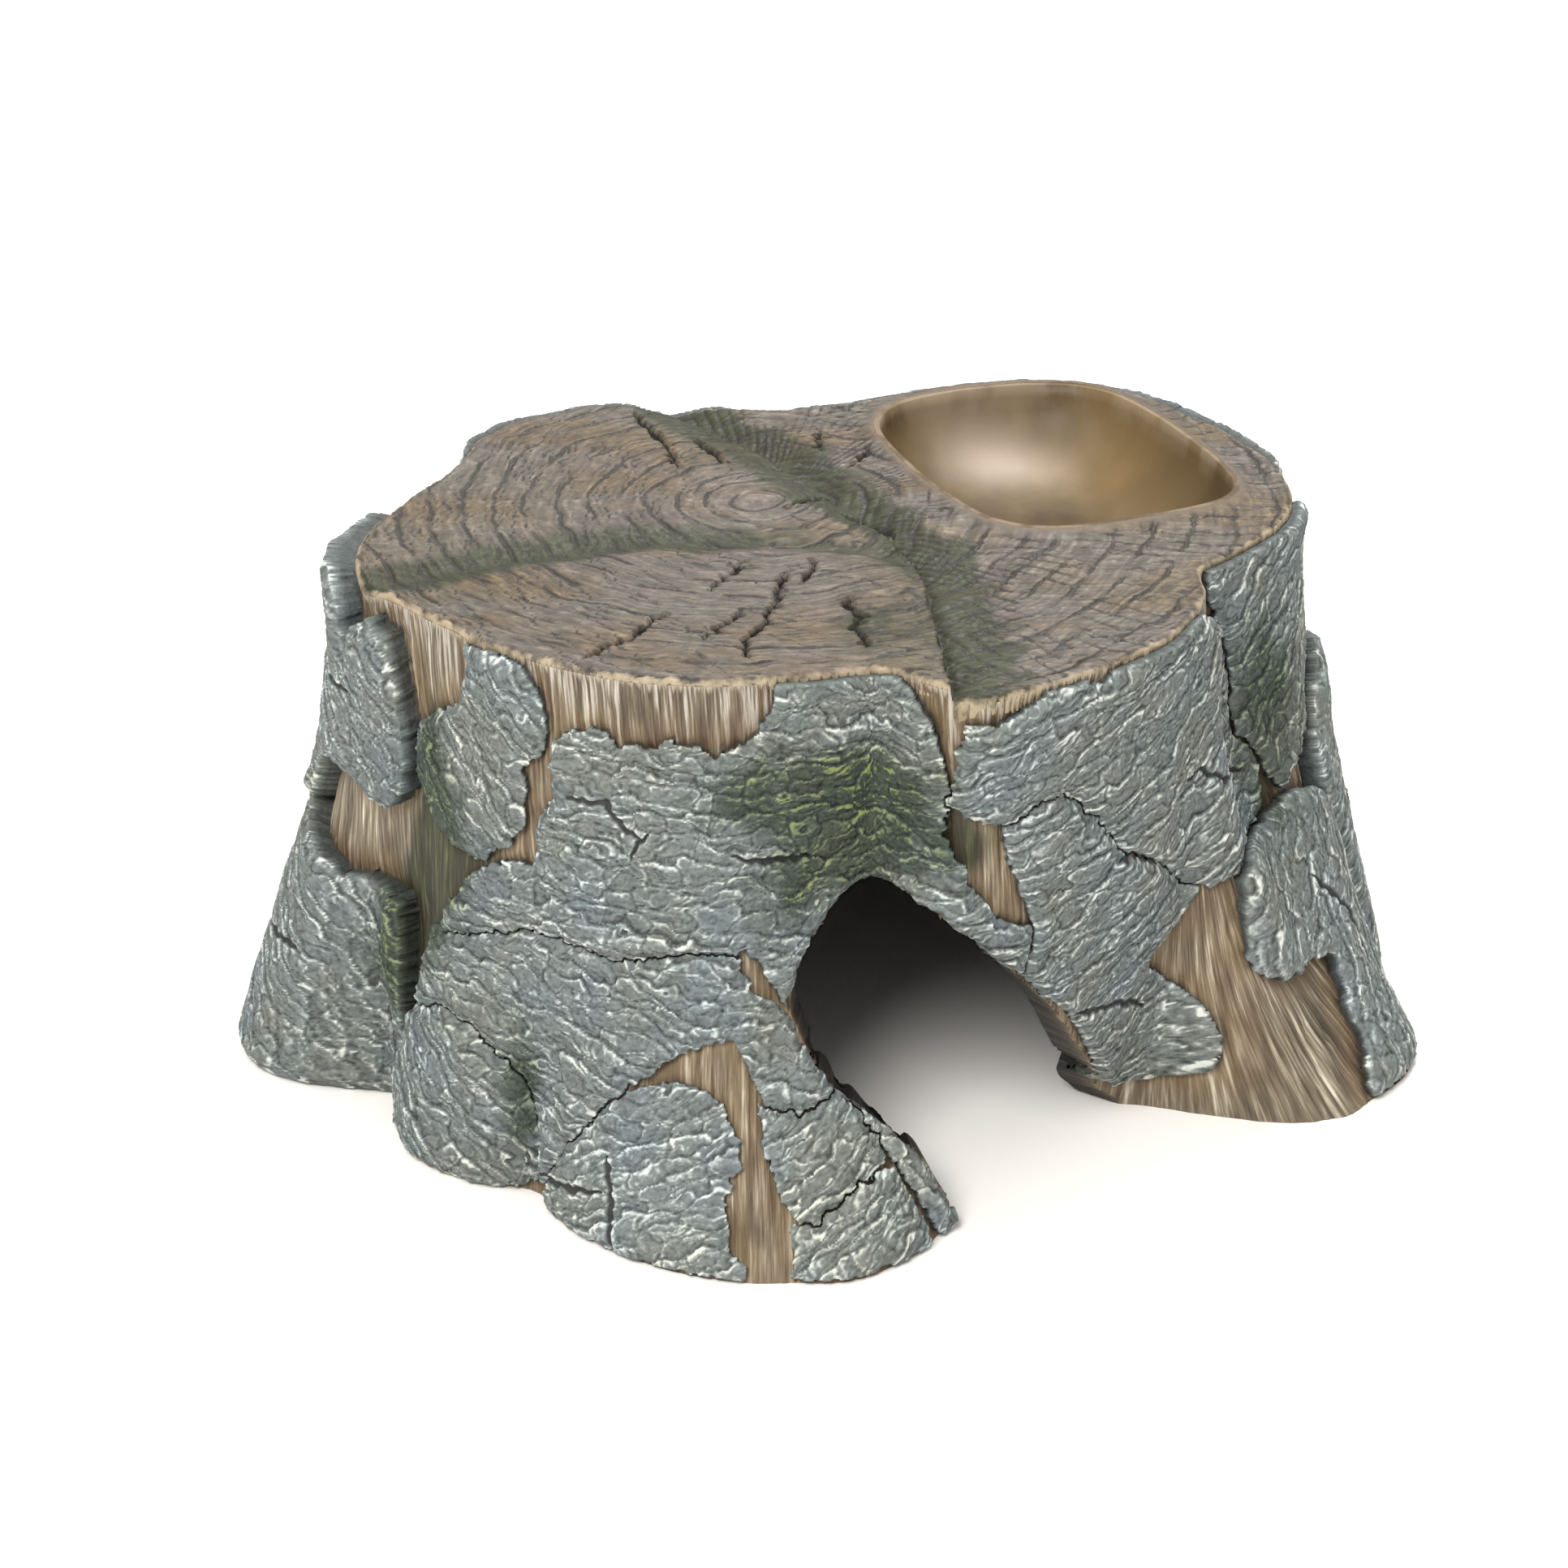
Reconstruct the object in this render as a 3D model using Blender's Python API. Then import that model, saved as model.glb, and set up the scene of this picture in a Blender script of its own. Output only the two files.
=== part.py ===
"""Stump-shaped cave ornament: an open-bottomed hollow wood body with a dish in its top and a
cave mouth in its front, and bark plates standing proud of the wood all round.
Metres, +Z up. Z = 0 is the plane it stands on, and the cave mouth faces -Y."""

import math

import bmesh
import bpy
import numpy as np
from mathutils import Vector, geometry

MM = 0.001
HEIGHT = 112.0  # mm, standing plane to the top of the left-hand slab
FLARE = 1.9  # how late the wall starts to spread towards the roots
WALL = 8.0  # mm, casting wall
CEILING = 102.0  # mm, top of the cave
CAVE_REACH = 86.0  # mm, the cave stops here inside the longer roots
GAP = 0.3  # mm, bond line between wood and bark
BARK_EDGE, BARK_MIDDLE = 2.6, 3.8  # mm, how far a plate stands off the wood
DISH_DEPTH = 18.5  # mm
DISH_WALL = 6.0  # mm
STEP = 2.6  # mm, drop from the left-hand slab to the right-hand one along the split
FOLD_DEPTH = 1.3  # mm
CENTRING = Vector((0.51, 1.30, 0.0))  # mm, puts the origin under the middle of the footprint
COLUMNS = 144
LEVELS = (0.0, 5.0, 11.0, 18.0, 26.0, 36.0, 48.0, 62.0, 78.0, 95.0, HEIGHT)

# (azimuth in degrees, radius in mm), anticlockwise from +X seen from above
RIM = (
    (0, 87), (10, 94), (24, 97), (40, 98), (54, 98), (63, 92), (74, 80), (86, 70), (100, 68),
    (112, 75), (126, 82), (142, 87), (156, 83), (170, 86), (184, 92), (196, 93), (206, 87),
    (224, 83), (240, 79), (256, 73), (268, 68), (279, 67), (288, 77), (304, 78), (328, 79),
    (338, 77), (347, 74), (354, 80),
)
ROOTS = (
    (6, 110), (14, 119), (22, 123), (32, 115), (45, 99), (60, 92), (76, 96), (88, 96), (102, 90),
    (114, 89), (126, 97), (138, 107), (148, 107), (158, 100), (168, 106), (177, 118), (184, 120),
    (190, 114), (193.5, 104), (196.5, 92), (204, 93), (213, 96), (221, 93), (229, 87), (238, 93),
    (248, 98), (258, 100), (265, 99), (272, 98), (279, 91), (287, 80), (298, 68), (310, 64),
    (322, 63), (330, 64), (333, 72), (335.5, 92), (339, 106), (345, 114), (352, 120), (359, 118),
)
# (azimuth, width in degrees, depth in mm) of the hollows that run down between the roots
WAISTS = ((280, 16, 7.0), (202, 8, 2.5), (90, 20, 2.0), (347, 8, 2.0))

# (azimuth in degrees, height in mm) of the cave mouth on the wall
MOUTH = (
    (289, -4), (286.5, 5), (283, 14), (278, 22), (274, 27), (270.5, 31.5), (268, 36), (266, 41),
    (264, 47), (265, 54), (267, 59.5), (269.5, 63.5), (272, 66), (275, 68), (279, 67), (282.5, 65),
    (286, 62), (290, 58), (295, 52), (300, 45), (307, 36), (313, 26), (319.5, 16), (326, 7),
    (330.5, 2), (332.5, -4),
)
# mm in plan, on the top face
DISH = (
    (11, 53), (14, 65), (23, 72), (35, 76.5), (45, 78), (54, 76.5), (62, 70), (71, 54), (78, 37),
    (81, 25), (80, 18), (74, 12), (60, 5.5), (45, 1.5), (33, 5), (25, 16), (17, 33),
)
SPLIT = (
    (-44, 96), (-35, 70), (-23, 57), (-10, 39), (-2, 25), (5, 13), (11, 0), (17, -16), (18, -28),
    (19, -43), (20, -58), (23, -90),
)
FOLD = ((-112, -34), (-88, -26), (-72, -18), (-60, -12), (-35, -4), (-16, -5), (6, -8), (20, -15))

# (azimuth in degrees, height in mm) round each bark plate
PLATES = {
    "left_upper_bark": (
        (166, 104), (174, 109.5), (183, 111), (190, 111), (193.5, 108), (193.8, 102), (194.3, 97),
        (196, 97.5), (197.5, 103.5), (200.5, 106.5), (203, 104.5), (203.5, 100), (204.2, 93.5),
        (204.5, 85), (204.7, 78), (204, 73), (202, 69.5), (198.7, 67.5), (196, 69), (194, 71),
        (191, 72.5), (187.5, 69), (185, 62), (183, 56), (176, 57.5), (168, 60), (164, 80),
    ),
    "left_root_bark": (
        (163, 42), (170, 50), (178, 54), (184, 51.5), (189, 50.5), (191.5, 49.5), (193.2, 46.5),
        (194.5, 48), (196, 48.4), (198.7, 47.5), (202.5, 47.3), (203.3, 41), (203, 34), (202.5, 27),
        (201, 21), (199.5, 13.5), (198.3, 7), (197, 1.3), (190, 1.3), (183, 1.3), (176, 1.3),
        (169, 1.3), (163, 2), (160, 20),
    ),
    "front_left_bark": (
        (217, 108.5), (220.7, 109.6), (224.6, 109.5), (227, 107.7), (228.6, 104.4), (229.5, 100.3),
        (229.4, 96.3), (228.6, 92.7), (226.7, 91.4), (225.8, 88.8), (226.2, 84.8), (226.3, 80.7),
        (225.4, 76), (224, 72.8), (221.4, 70.7), (219.8, 67.5), (217.3, 68), (214, 68.5),
        (210.6, 70.3), (208, 73.5), (206, 78), (205.8, 84), (207, 88.2), (210.5, 92), (214, 95),
        (216.4, 99), (217.3, 104.7),
    ),
    "front_bark": (
        (213.5, 49.6), (214.5, 53.5), (216.5, 58), (218.3, 62.3), (221, 65.5), (224, 68),
        (226.2, 68.6), (228, 67.6), (229, 71.4), (228.8, 76.4), (229.7, 80), (231.8, 84.5),
        (231.8, 88), (231, 91.5), (231.6, 94), (232.3, 96.5), (234.6, 98.7), (237.8, 99.7),
        (239.8, 97.4), (244.8, 96.7), (247, 99), (249, 98), (251, 98), (252.9, 95.2), (254.5, 97.5),
        (257, 98.5), (259.3, 101.5), (261, 106), (262, 110), (265, 111), (272.4, 111), (278.5, 111),
        (281, 109.5), (282.8, 106.5), (284.7, 102), (285.8, 96.5), (286.6, 91), (286.8, 86),
        (286.4, 80), (287.7, 75.2), (289.4, 70.3), (291.8, 64.8), (294.6, 60.2), (297.8, 58.7),
        (299.4, 57.2), (298.3, 48.6), (295.3, 52), (292.3, 55.5), (289.3, 59.8), (286.2, 63.8),
        (282.5, 66.5), (279, 68), (275, 69), (271.4, 67.8), (269.5, 65), (267.3, 61.3), (265, 57),
        (264, 52), (263.2, 49.5), (261.8, 52.5), (260.7, 55.5), (259.5, 58), (258, 60), (256, 59.6),
        (253, 59.1), (249, 58.7), (244, 56.2), (239, 55.2), (235, 56.2), (229, 56.2), (225, 54.7),
        (218, 51.1),
    ),
    "front_root_bark": (
        (212, 48.5), (217.5, 50.2), (225, 53.9), (229, 55.4), (235, 55.4), (239, 54.4), (244, 55.4),
        (249, 57.9), (253, 58.3), (256.3, 58.7), (257.2, 56), (258.2, 52.5), (260, 49.7),
        (262, 47.6), (263.8, 45.3), (265, 41.8), (266.7, 37.8), (268.3, 34.2), (269.7, 32),
        (267, 30.2), (265.5, 29), (263.2, 30.3), (261.4, 32), (259.9, 36.3), (258.9, 40),
        (257.8, 43), (255.8, 42.8), (254, 42.5), (251.8, 41), (249.3, 38.7), (246.2, 35),
        (243, 30.3), (240.8, 25.7), (238.2, 20.3), (236, 15), (233.8, 10.5), (232, 5), (231.1, 5),
        (231.2, 10), (230.1, 17), (228.5, 23.2), (226.2, 27.9), (223, 30.7), (220.2, 34),
        (214.6, 33.9), (208.5, 30.5), (210.5, 39),
    ),
    "front_left_foot_bark": (
        (205.5, 23), (207, 27), (209.5, 29), (214.9, 32.4), (219.4, 32.5), (222, 29.4),
        (225.3, 26.5), (227.4, 22), (228.9, 16.5), (229.9, 9.9), (229.7, 4.3), (226, 1.3),
        (219, 1.3), (212, 1.3), (205.5, 1.3), (203, 8), (203.5, 16),
    ),
    "front_root_left_bark": (
        (233, 4.5), (234.3, 9.5), (237, 15.9), (239.6, 21.4), (242.4, 27.2), (246.3, 31.4),
        (250.5, 33), (252.4, 32.6), (254.4, 31.4), (256, 30), (256.8, 27.4), (257.7, 25.4),
        (258.5, 23.3), (258.6, 20.5), (257.9, 18.3), (257.2, 14.6), (257.6, 11), (258.3, 7),
        (258.6, 4.5), (260, 2.8), (260.3, 1.2), (254, 1.2), (246, 1.2), (238, 1.2), (233.5, 1.2),
    ),
    "front_root_right_bark": (
        (261.2, 30), (263.5, 28.7), (265.6, 27.7), (267.5, 28.8), (269.8, 30.6), (271.1, 30.2),
        (272.5, 27.8), (274, 24.2), (275.6, 20.2), (276.1, 17.4), (275.2, 16.2), (272.8, 15.1),
        (270, 12.3), (267.8, 10.4), (266.3, 10.5), (265.1, 12.4), (264.4, 14.5), (263.5, 18),
        (262.9, 21), (261.8, 24), (262, 27.5),
    ),
    "front_root_tip_bark": (
        (265.9, 9), (268, 8.8), (270.4, 10.9), (273, 13.7), (275.3, 14.7), (276.6, 15),
        (277.6, 13.8), (278.9, 10), (280.2, 6), (281, 3.5), (281.2, 1.2), (274, 1.2), (269, 1.2),
        (266.3, 1.2),
    ),
    "front_root_edge_bark": (
        (272.9, 30.4), (275.7, 25.3), (278.6, 21), (281, 16), (283, 10.7), (284.9, 4.4),
        (286.4, 1.3), (284.6, 1.3), (283.5, 3), (282.2, 6.6), (280.4, 11.2), (278.2, 16.6),
        (276.4, 21), (274.2, 26),
    ),
    "right_front_upper_bark": (
        (289, 103), (293.2, 102.5), (295.3, 104.4), (298.2, 106.6), (301.4, 107.7), (304.8, 108.2),
        (306.9, 106.4), (309, 106.2), (310.5, 108), (316.6, 109.6), (324.5, 110.3), (330, 109.5),
        (337, 105), (343, 100.5), (348.3, 96.5), (349.6, 93), (349.8, 87), (349.6, 80), (349.4, 74),
        (351.4, 69.5), (351.4, 64.4), (350.8, 60.5), (350, 58.2), (347, 55.4), (341, 54.6),
        (337.7, 52.7), (335.4, 51.5), (333.9, 52.6), (325.5, 61.4), (314.8, 70.2), (311, 76.7),
        (308, 81.5), (305.9, 84.6), (302.8, 86.2), (300.2, 86.1), (298.4, 84.1), (296.6, 82.9),
        (294.5, 82.7), (292.6, 83.6), (290.6, 85), (289, 85.2), (288, 87), (288, 90.4),
        (288.3, 94.9), (288.5, 98.5),
    ),
    "right_front_lower_bark": (
        (294.6, 81.5), (296.8, 81.7), (298.7, 82.9), (300.4, 84.9), (302.5, 85), (305.3, 83.4),
        (307.2, 80.5), (310.2, 75.8), (314, 69), (324.6, 60.3), (332.8, 51.8), (334, 50.4),
        (333.4, 47), (332.3, 42), (330, 39.3), (328.4, 36.8), (329.8, 33.4), (332, 30.5),
        (333.5, 28), (334.3, 23.4), (334.5, 19), (334.5, 15), (334, 10.5), (332.5, 8), (329.5, 7.3),
        (325.2, 9.3), (320.2, 16.4), (316.4, 23.4), (312.5, 30.6), (308.4, 36.6), (303.4, 42.2),
        (299.6, 47.5), (300.7, 53), (300.9, 57), (299.8, 60.5), (298.6, 65.2), (296.8, 71),
        (295.3, 76.5),
    ),
    "right_upper_bark": (
        (347.3, 110.8), (352.8, 110.8), (358, 111), (364, 111), (370, 110), (376, 105), (378, 94),
        (376, 86), (371, 76.5), (366, 70), (361.5, 66), (355.2, 60), (354, 62.5), (353.2, 68.3),
        (352.3, 71.3), (351.2, 74), (351.3, 80), (351.6, 86.7), (351.3, 93), (349.9, 99),
        (347.8, 105),
    ),
    "right_root_bark": (
        (350.3, 56.4), (347.4, 53.8), (341, 53), (338.8, 50.8), (338.4, 44.7), (338.2, 39.9),
        (337.6, 35.2), (338.2, 32.3), (340.1, 29.7), (344.6, 27.4), (346.2, 28.2), (349.4, 27.5),
        (351.2, 26.2), (350.4, 22), (348.9, 17), (348.3, 12.5), (347.8, 8.9), (346, 6), (345, 1.3),
        (352, 1.3), (359, 1.3), (366, 1.3), (369, 3), (371, 16), (369, 30), (366, 42), (362, 52),
        (356, 57.5),
    ),
    "rear_right_root_bark": (
        (4.5, 54), (4.5, 61), (8, 67.5), (12, 71.5), (15, 73), (18, 70), (20.5, 63), (26, 54),
        (31, 42), (34, 26), (32, 8), (28, 1.3), (20, 1.3), (12.5, 1.3), (14, 14), (12.5, 29),
        (9, 42),
    ),
    "rear_right_upper_bark": (
        (21, 105), (25, 110.5), (35, 111), (44, 110.5), (51, 107), (53, 96), (50, 84), (52, 72),
        (47, 64), (38, 60), (30, 64), (23, 66), (20.5, 78), (22, 90),
    ),
    "rear_right_low_bark": (
        (36, 48), (42, 54), (49, 50), (54, 42), (52, 30), (50, 15), (45, 7), (40, 4), (37, 14),
        (38, 30),
    ),
    "rear_centre_bark": (
        (57, 104), (63, 110.5), (71, 110), (78, 108.5), (86, 110.5), (94, 109.5), (99, 100),
        (97, 84), (101, 70), (99, 55), (94, 46), (85, 40), (76, 44), (67, 38), (59, 46), (57, 58),
        (58, 74), (55, 88),
    ),
    "rear_root_bark": (
        (56, 28), (66, 32), (76, 38), (85, 34), (94, 40), (101, 30), (104, 16), (102, 3), (95, 1.3),
        (84, 1.3), (72, 1.3), (62, 1.3), (56, 4), (54, 15),
    ),
    "rear_left_upper_bark": (
        (105, 104), (112, 110.5), (121, 110), (130, 111), (140, 110.5), (149, 107), (152, 94),
        (149, 82), (152, 70), (145, 61), (136, 58), (127, 63), (117, 59), (107, 64), (104, 76),
        (107, 90),
    ),
    "rear_left_root_bark": (
        (107, 52), (117, 54), (127, 58), (136, 53), (146, 56), (154, 49), (157, 36), (156, 20),
        (153, 5), (148, 1.3), (138, 1.3), (127, 1.3), (118, 2), (112, 14), (107, 32),
    ),
}

# mm more, for the plates that stand well off the wood above the foot of a root
STAND_OFF = {
    "left_upper_bark": 3.5, "left_root_bark": 3.0, "right_root_bark": 2.0,
    "rear_right_root_bark": 3.0,
}

WOOD = ((0.30, 0.22, 0.14, 1.0), 0.6)
BARK = ((0.21, 0.23, 0.22, 1.0), 0.85)


def ring(points, azimuth):
    """Radius at this azimuth on a smooth closed curve through the points."""
    angles = np.array([p[0] for p in points], float)
    radii = np.tile([p[1] for p in points], 3).astype(float)
    angles = np.concatenate([angles - 360, angles, angles + 360])
    slopes = np.gradient(radii, angles)
    azimuth = azimuth % 360
    i = int(np.searchsorted(angles, azimuth)) - 1
    span = angles[i + 1] - angles[i]
    t = (azimuth - angles[i]) / span
    return (
        (2 * t**3 - 3 * t**2 + 1) * radii[i] + (t**3 - 2 * t**2 + t) * span * slopes[i]
        + (3 * t**2 - 2 * t**3) * radii[i + 1] + (t**3 - t**2) * span * slopes[i + 1]
    )


def wall_radius(azimuth, z):
    drop = min(max(1 - z / HEIGHT, 0.0), 1.0)
    top = ring(RIM, azimuth)
    waist = sum(
        depth * math.exp(-(((azimuth - at + 180) % 360 - 180) / width) ** 2)
        for at, width, depth in WAISTS
    )
    spread = (ring(ROOTS, azimuth) - top) * drop**FLARE
    return top + spread - waist * math.sin(math.pi * drop)


def wall_point(azimuth, z, off=0.0):
    """A point this far off the wall, along its normal, in mm."""

    def at(a, h):
        r, turn = wall_radius(a, h), math.radians(a)
        return Vector((r * math.cos(turn), r * math.sin(turn), h))

    if not off:
        return at(azimuth, z)
    along = at(azimuth + 0.8, z) - at(azimuth - 0.8, z)
    up = at(azimuth, min(z + 1.5, HEIGHT)) - at(azimuth, max(z - 1.5, 0.0))
    return at(azimuth, z) + off * along.cross(up).normalized()


def add(name, vertices, faces, look, helper=False):
    mesh = bpy.data.meshes.new(name)
    mesh.from_pydata([(Vector(v) + CENTRING) * MM for v in vertices], [], faces)
    shape = bmesh.new()
    shape.from_mesh(mesh)
    bmesh.ops.triangulate(shape, faces=shape.faces)
    bmesh.ops.recalc_face_normals(shape, faces=shape.faces)
    if shape.calc_volume(signed=True) < 0:
        bmesh.ops.reverse_faces(shape, faces=shape.faces)
    shape.to_mesh(mesh)
    shape.free()
    for face in mesh.polygons:
        face.use_smooth = not helper
    mesh.set_sharp_from_angle(angle=math.radians(40))
    piece = bpy.data.objects.new(name, mesh)
    bpy.context.scene.collection.objects.link(piece)
    if helper:
        piece.hide_render = True
        piece.display_type = "WIRE"
        return piece
    colour, roughness = look
    paint = bpy.data.materials.new(name + "_paint")
    paint.use_nodes = True
    shader = paint.node_tree.nodes["Principled BSDF"]
    shader.inputs["Base Color"].default_value = colour
    shader.inputs["Roughness"].default_value = roughness
    mesh.materials.append(paint)
    return piece


def subtract(piece, cutter):
    cut = piece.modifiers.new(cutter.name, "BOOLEAN")
    cut.operation = "DIFFERENCE"
    cut.solver = "EXACT"
    cut.object = cutter


def loft(name, rings, look=None):
    """A closed solid through rings of equal length, with flat ends."""
    count = len(rings[0])
    vertices = [point for one in rings for point in one]
    faces = [tuple(range(count)), tuple(range(len(vertices) - count, len(vertices)))]
    for level in range(len(rings) - 1):
        for i in range(count):
            a, b = level * count + i, level * count + (i + 1) % count
            faces.append((a, b, b + count, a + count))
    return add(name, vertices, faces, look, helper=look is None)


def prism(name, outline, low, high):
    """A cutter over an outline in plan; low gives the height of its floor at a point."""
    rings = [[(x, y, low(x, y)) for x, y in outline], [(x, y, high) for x, y in outline]]
    return loft(name, rings)


def wall_rings(off, extend=0.0):
    """Rings up the wall, optionally offset, with straight skirts past both ends."""
    angles = [360 * i / COLUMNS for i in range(COLUMNS)]
    rings = [[wall_point(a, z, off) for a in angles] for z in LEVELS]
    if extend:
        rings.insert(0, [Vector((p.x, p.y, -extend)) for p in rings[0]])
        rings.append([Vector((p.x, p.y, HEIGHT + extend)) for p in rings[-1]])
    return rings


def smooth_loop(points, steps):
    """Catmull-Rom through a closed loop of plan points."""
    count, loop = len(points), []
    for i in range(count):
        p0, p1, p2, p3 = (np.array(points[(i + k) % count], float) for k in (-1, 0, 1, 2))
        for s in range(steps):
            t = s / steps
            loop.append(
                0.5 * (2 * p1 + (p2 - p0) * t + (2 * p0 - 5 * p1 + 4 * p2 - p3) * t**2
                       + (3 * p1 - p0 - 3 * p2 + p3) * t**3)
            )
    return loop


def bowl(name, grow, depth):
    """The dish's rounded hollow, or with grow the skin round it."""
    loop = smooth_loop(DISH, 3)
    centre = sum(loop) / len(loop)
    rings = []
    for share in (1.0, 0.99, 0.96, 0.91, 0.84, 0.74, 0.61, 0.45, 0.25):
        drop = depth * (1 - share**2.6) ** (1 / 2.2)
        size = share + grow / 38
        rings.append([(*(centre + (p - centre) * size), HEIGHT - drop) for p in loop])
    rings.reverse()
    top = [(x, y, HEIGHT + 6) for x, y, _ in rings[-1]]
    return loft(name, rings + [top])


def radial_cutter(name, outline, near, far):
    def at(r):
        return [
            (r * math.cos(math.radians(a)), r * math.sin(math.radians(a)), z) for a, z in outline
        ]

    return loft(name, [at(near), at(far)])


def inside(point, loop):
    x, y = point
    hit = False
    for (x1, y1), (x2, y2) in zip(loop, loop[1:] + loop[:1]):
        if (y1 > y) != (y2 > y) and x < x1 + (y - y1) * (x2 - x1) / (y2 - y1):
            hit = not hit
    return hit


def edge_distance(point, loop):
    p, best = Vector(point), 1e9
    for a, b in zip(loop, loop[1:] + loop[:1]):
        a, b = Vector(a), Vector(b)
        t = min(max((p - a).dot(b - a) / (b - a).length_squared, 0), 1)
        best = min(best, (p - a - t * (b - a)).length)
    return best


def bark_plate(name, outline, clearance):
    """A plate that follows the wall: thin at its broken edges and thicker in the middle."""
    per_degree = math.radians(1) * 95  # mm of wall to a degree, so that the outline is in mm
    loop = []
    corners = [(a * per_degree, z) for a, z in outline]
    for a, b in zip(corners, corners[1:] + corners[:1]):
        parts = max(1, round(math.dist(a, b) / 6))
        for k in range(parts):
            loop.append((a[0] + (b[0] - a[0]) * k / parts, a[1] + (b[1] - a[1]) * k / parts))
    spacing, inner = 7.5, []
    x0, x1 = min(p[0] for p in loop), max(p[0] for p in loop)
    z0, z1 = min(p[1] for p in loop), max(p[1] for p in loop)
    for row in range(int((z1 - z0) / spacing) + 1):
        for column in range(int((x1 - x0) / spacing) + 2):
            point = (x0 + (column + 0.5 * (row % 2)) * spacing, z0 + (row + 0.5) * spacing)
            if inside(point, loop) and edge_distance(point, loop) > 3.2:
                inner.append(point)
    points = [Vector(p) for p in loop + inner]
    border = [(i, (i + 1) % len(loop)) for i in range(len(loop))]
    _, _, faces, *_ = geometry.delaunay_2d_cdt(points, border, [], 1, 1e-6)
    count = len(points)
    front, back = [], []
    for i, (x, z) in enumerate(points):
        off = BARK_EDGE if i < len(loop) else BARK_MIDDLE
        off += STAND_OFF.get(name, 0.0) * min(z / 40, 1.0)
        front.append(wall_point(x / per_degree, z, off))
        back.append(wall_point(x / per_degree, z, -2.5))
    sides = [(a, b, b + count, a + count) for a, b in border]
    mirrored = [tuple(i + count for i in reversed(face)) for face in faces]
    plate = add(name, front + back, [tuple(f) for f in faces] + mirrored + sides, BARK)
    subtract(plate, clearance)


def wood_body():
    body = loft("wood_body", wall_rings(0.0), WOOD)
    angles = [360 * i / 72 for i in range(72)]
    rings = []
    for z in (-5.0, 8.0, 22.0, 38.0, 56.0, 76.0, 92.0, CEILING):
        bevel = 6.0 if z == CEILING else 0.0
        one = []
        for a in angles:
            r = min(wall_radius(a, z) - WALL, CAVE_REACH) - bevel
            one.append((r * math.cos(math.radians(a)), r * math.sin(math.radians(a)), z))
        rings.append(one)
    cave = loft("cave_cutter", rings)
    subtract(cave, bowl("dish_skin", DISH_WALL, DISH_DEPTH + DISH_WALL))
    subtract(body, cave)
    subtract(body, radial_cutter("mouth_cutter", MOUTH, 40, 150))

    def slab_floor(x, y):
        across = (x - 5) * 0.93 + y * 0.37
        return HEIGHT - STEP * (1 - across / 80)

    far = ((150, -90), (150, 110), (-44, 110))
    subtract(body, prism("split_cutter", SPLIT + far, slab_floor, HEIGHT + 8))
    rings = []
    for (x, y), (x2, y2) in zip(FOLD, FOLD[1:] + ((30, -18),)):
        side = Vector((y - y2, x2 - x, 0)).normalized() * 5
        at = Vector((x, y, HEIGHT + 1))
        rings.append([at + side, at - side, Vector((x, y, HEIGHT - FOLD_DEPTH))])
    subtract(body, loft("fold_cutter", rings))
    subtract(body, bowl("dish_cutter", 0.0, DISH_DEPTH))
    return body


for old in list(bpy.data.objects):
    bpy.data.objects.remove(old)
wood_body()
clearance = loft("bond_cutter", wall_rings(GAP, 6.0))
for plate_name, plate_outline in PLATES.items():
    bark_plate(plate_name, plate_outline, clearance)
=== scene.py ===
"""Looks of the stump-shaped cave ornament: painted resin wood and bark, at the scale of the relief."""

import math

import bpy
import numpy as np
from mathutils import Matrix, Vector


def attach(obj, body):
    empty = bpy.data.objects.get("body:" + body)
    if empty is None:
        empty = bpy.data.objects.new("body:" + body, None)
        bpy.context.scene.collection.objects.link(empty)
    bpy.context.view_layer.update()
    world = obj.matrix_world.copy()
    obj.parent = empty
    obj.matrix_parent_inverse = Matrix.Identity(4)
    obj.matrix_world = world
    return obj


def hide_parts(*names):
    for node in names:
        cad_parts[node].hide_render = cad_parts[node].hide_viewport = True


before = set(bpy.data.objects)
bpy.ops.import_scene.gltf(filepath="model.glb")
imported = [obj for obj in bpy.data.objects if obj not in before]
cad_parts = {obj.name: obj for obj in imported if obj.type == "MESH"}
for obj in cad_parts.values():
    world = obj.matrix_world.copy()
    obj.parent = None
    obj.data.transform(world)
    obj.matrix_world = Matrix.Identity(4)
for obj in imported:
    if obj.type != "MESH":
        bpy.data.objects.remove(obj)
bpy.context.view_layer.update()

HEIGHT = 112.0  # mm; everything below is in mm until a mesh is made
FLARE = 1.9
CENTRING = np.array([0.51, 1.30, 0.0])
WALL, CEILING, CAVE_REACH = 8.0, 102.0, 86.0
DISH_DEPTH, DISH_WALL = 18.5, 6.0
STEP = 2.6
PITH = np.array([-14.0, 15.0])
ARC = math.radians(1) * 95  # mm of wall to a degree of azimuth
COLUMNS = 1320
FINE, COARSE = 0.30, 0.42  # mm between points of a bark plate, in front and behind
TOP_STEP = 0.45
GROW, REAR_GROW = 0.9, 4.2  # mm that a plate spreads past its outline, to meet the next
CRACK, LIP = 0.35, 5.0  # mm between two plates, and of the turn into the cave
BARK_ROOM = 2.4  # mm the wood stands back from the mouth where bark turns in over it
MOUTH_BAND = 7.0  # mm of wood kept along the mouth, under the bark
DISH_POINTS, LINING_POINTS = 480, 720  # points round the dish and round the inside of the cave
STAND_OFF = {
    "left_upper_bark": 3.5, "left_root_bark": 3.0, "right_root_bark": 2.0,
    "rear_right_root_bark": 3.0,
}

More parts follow.
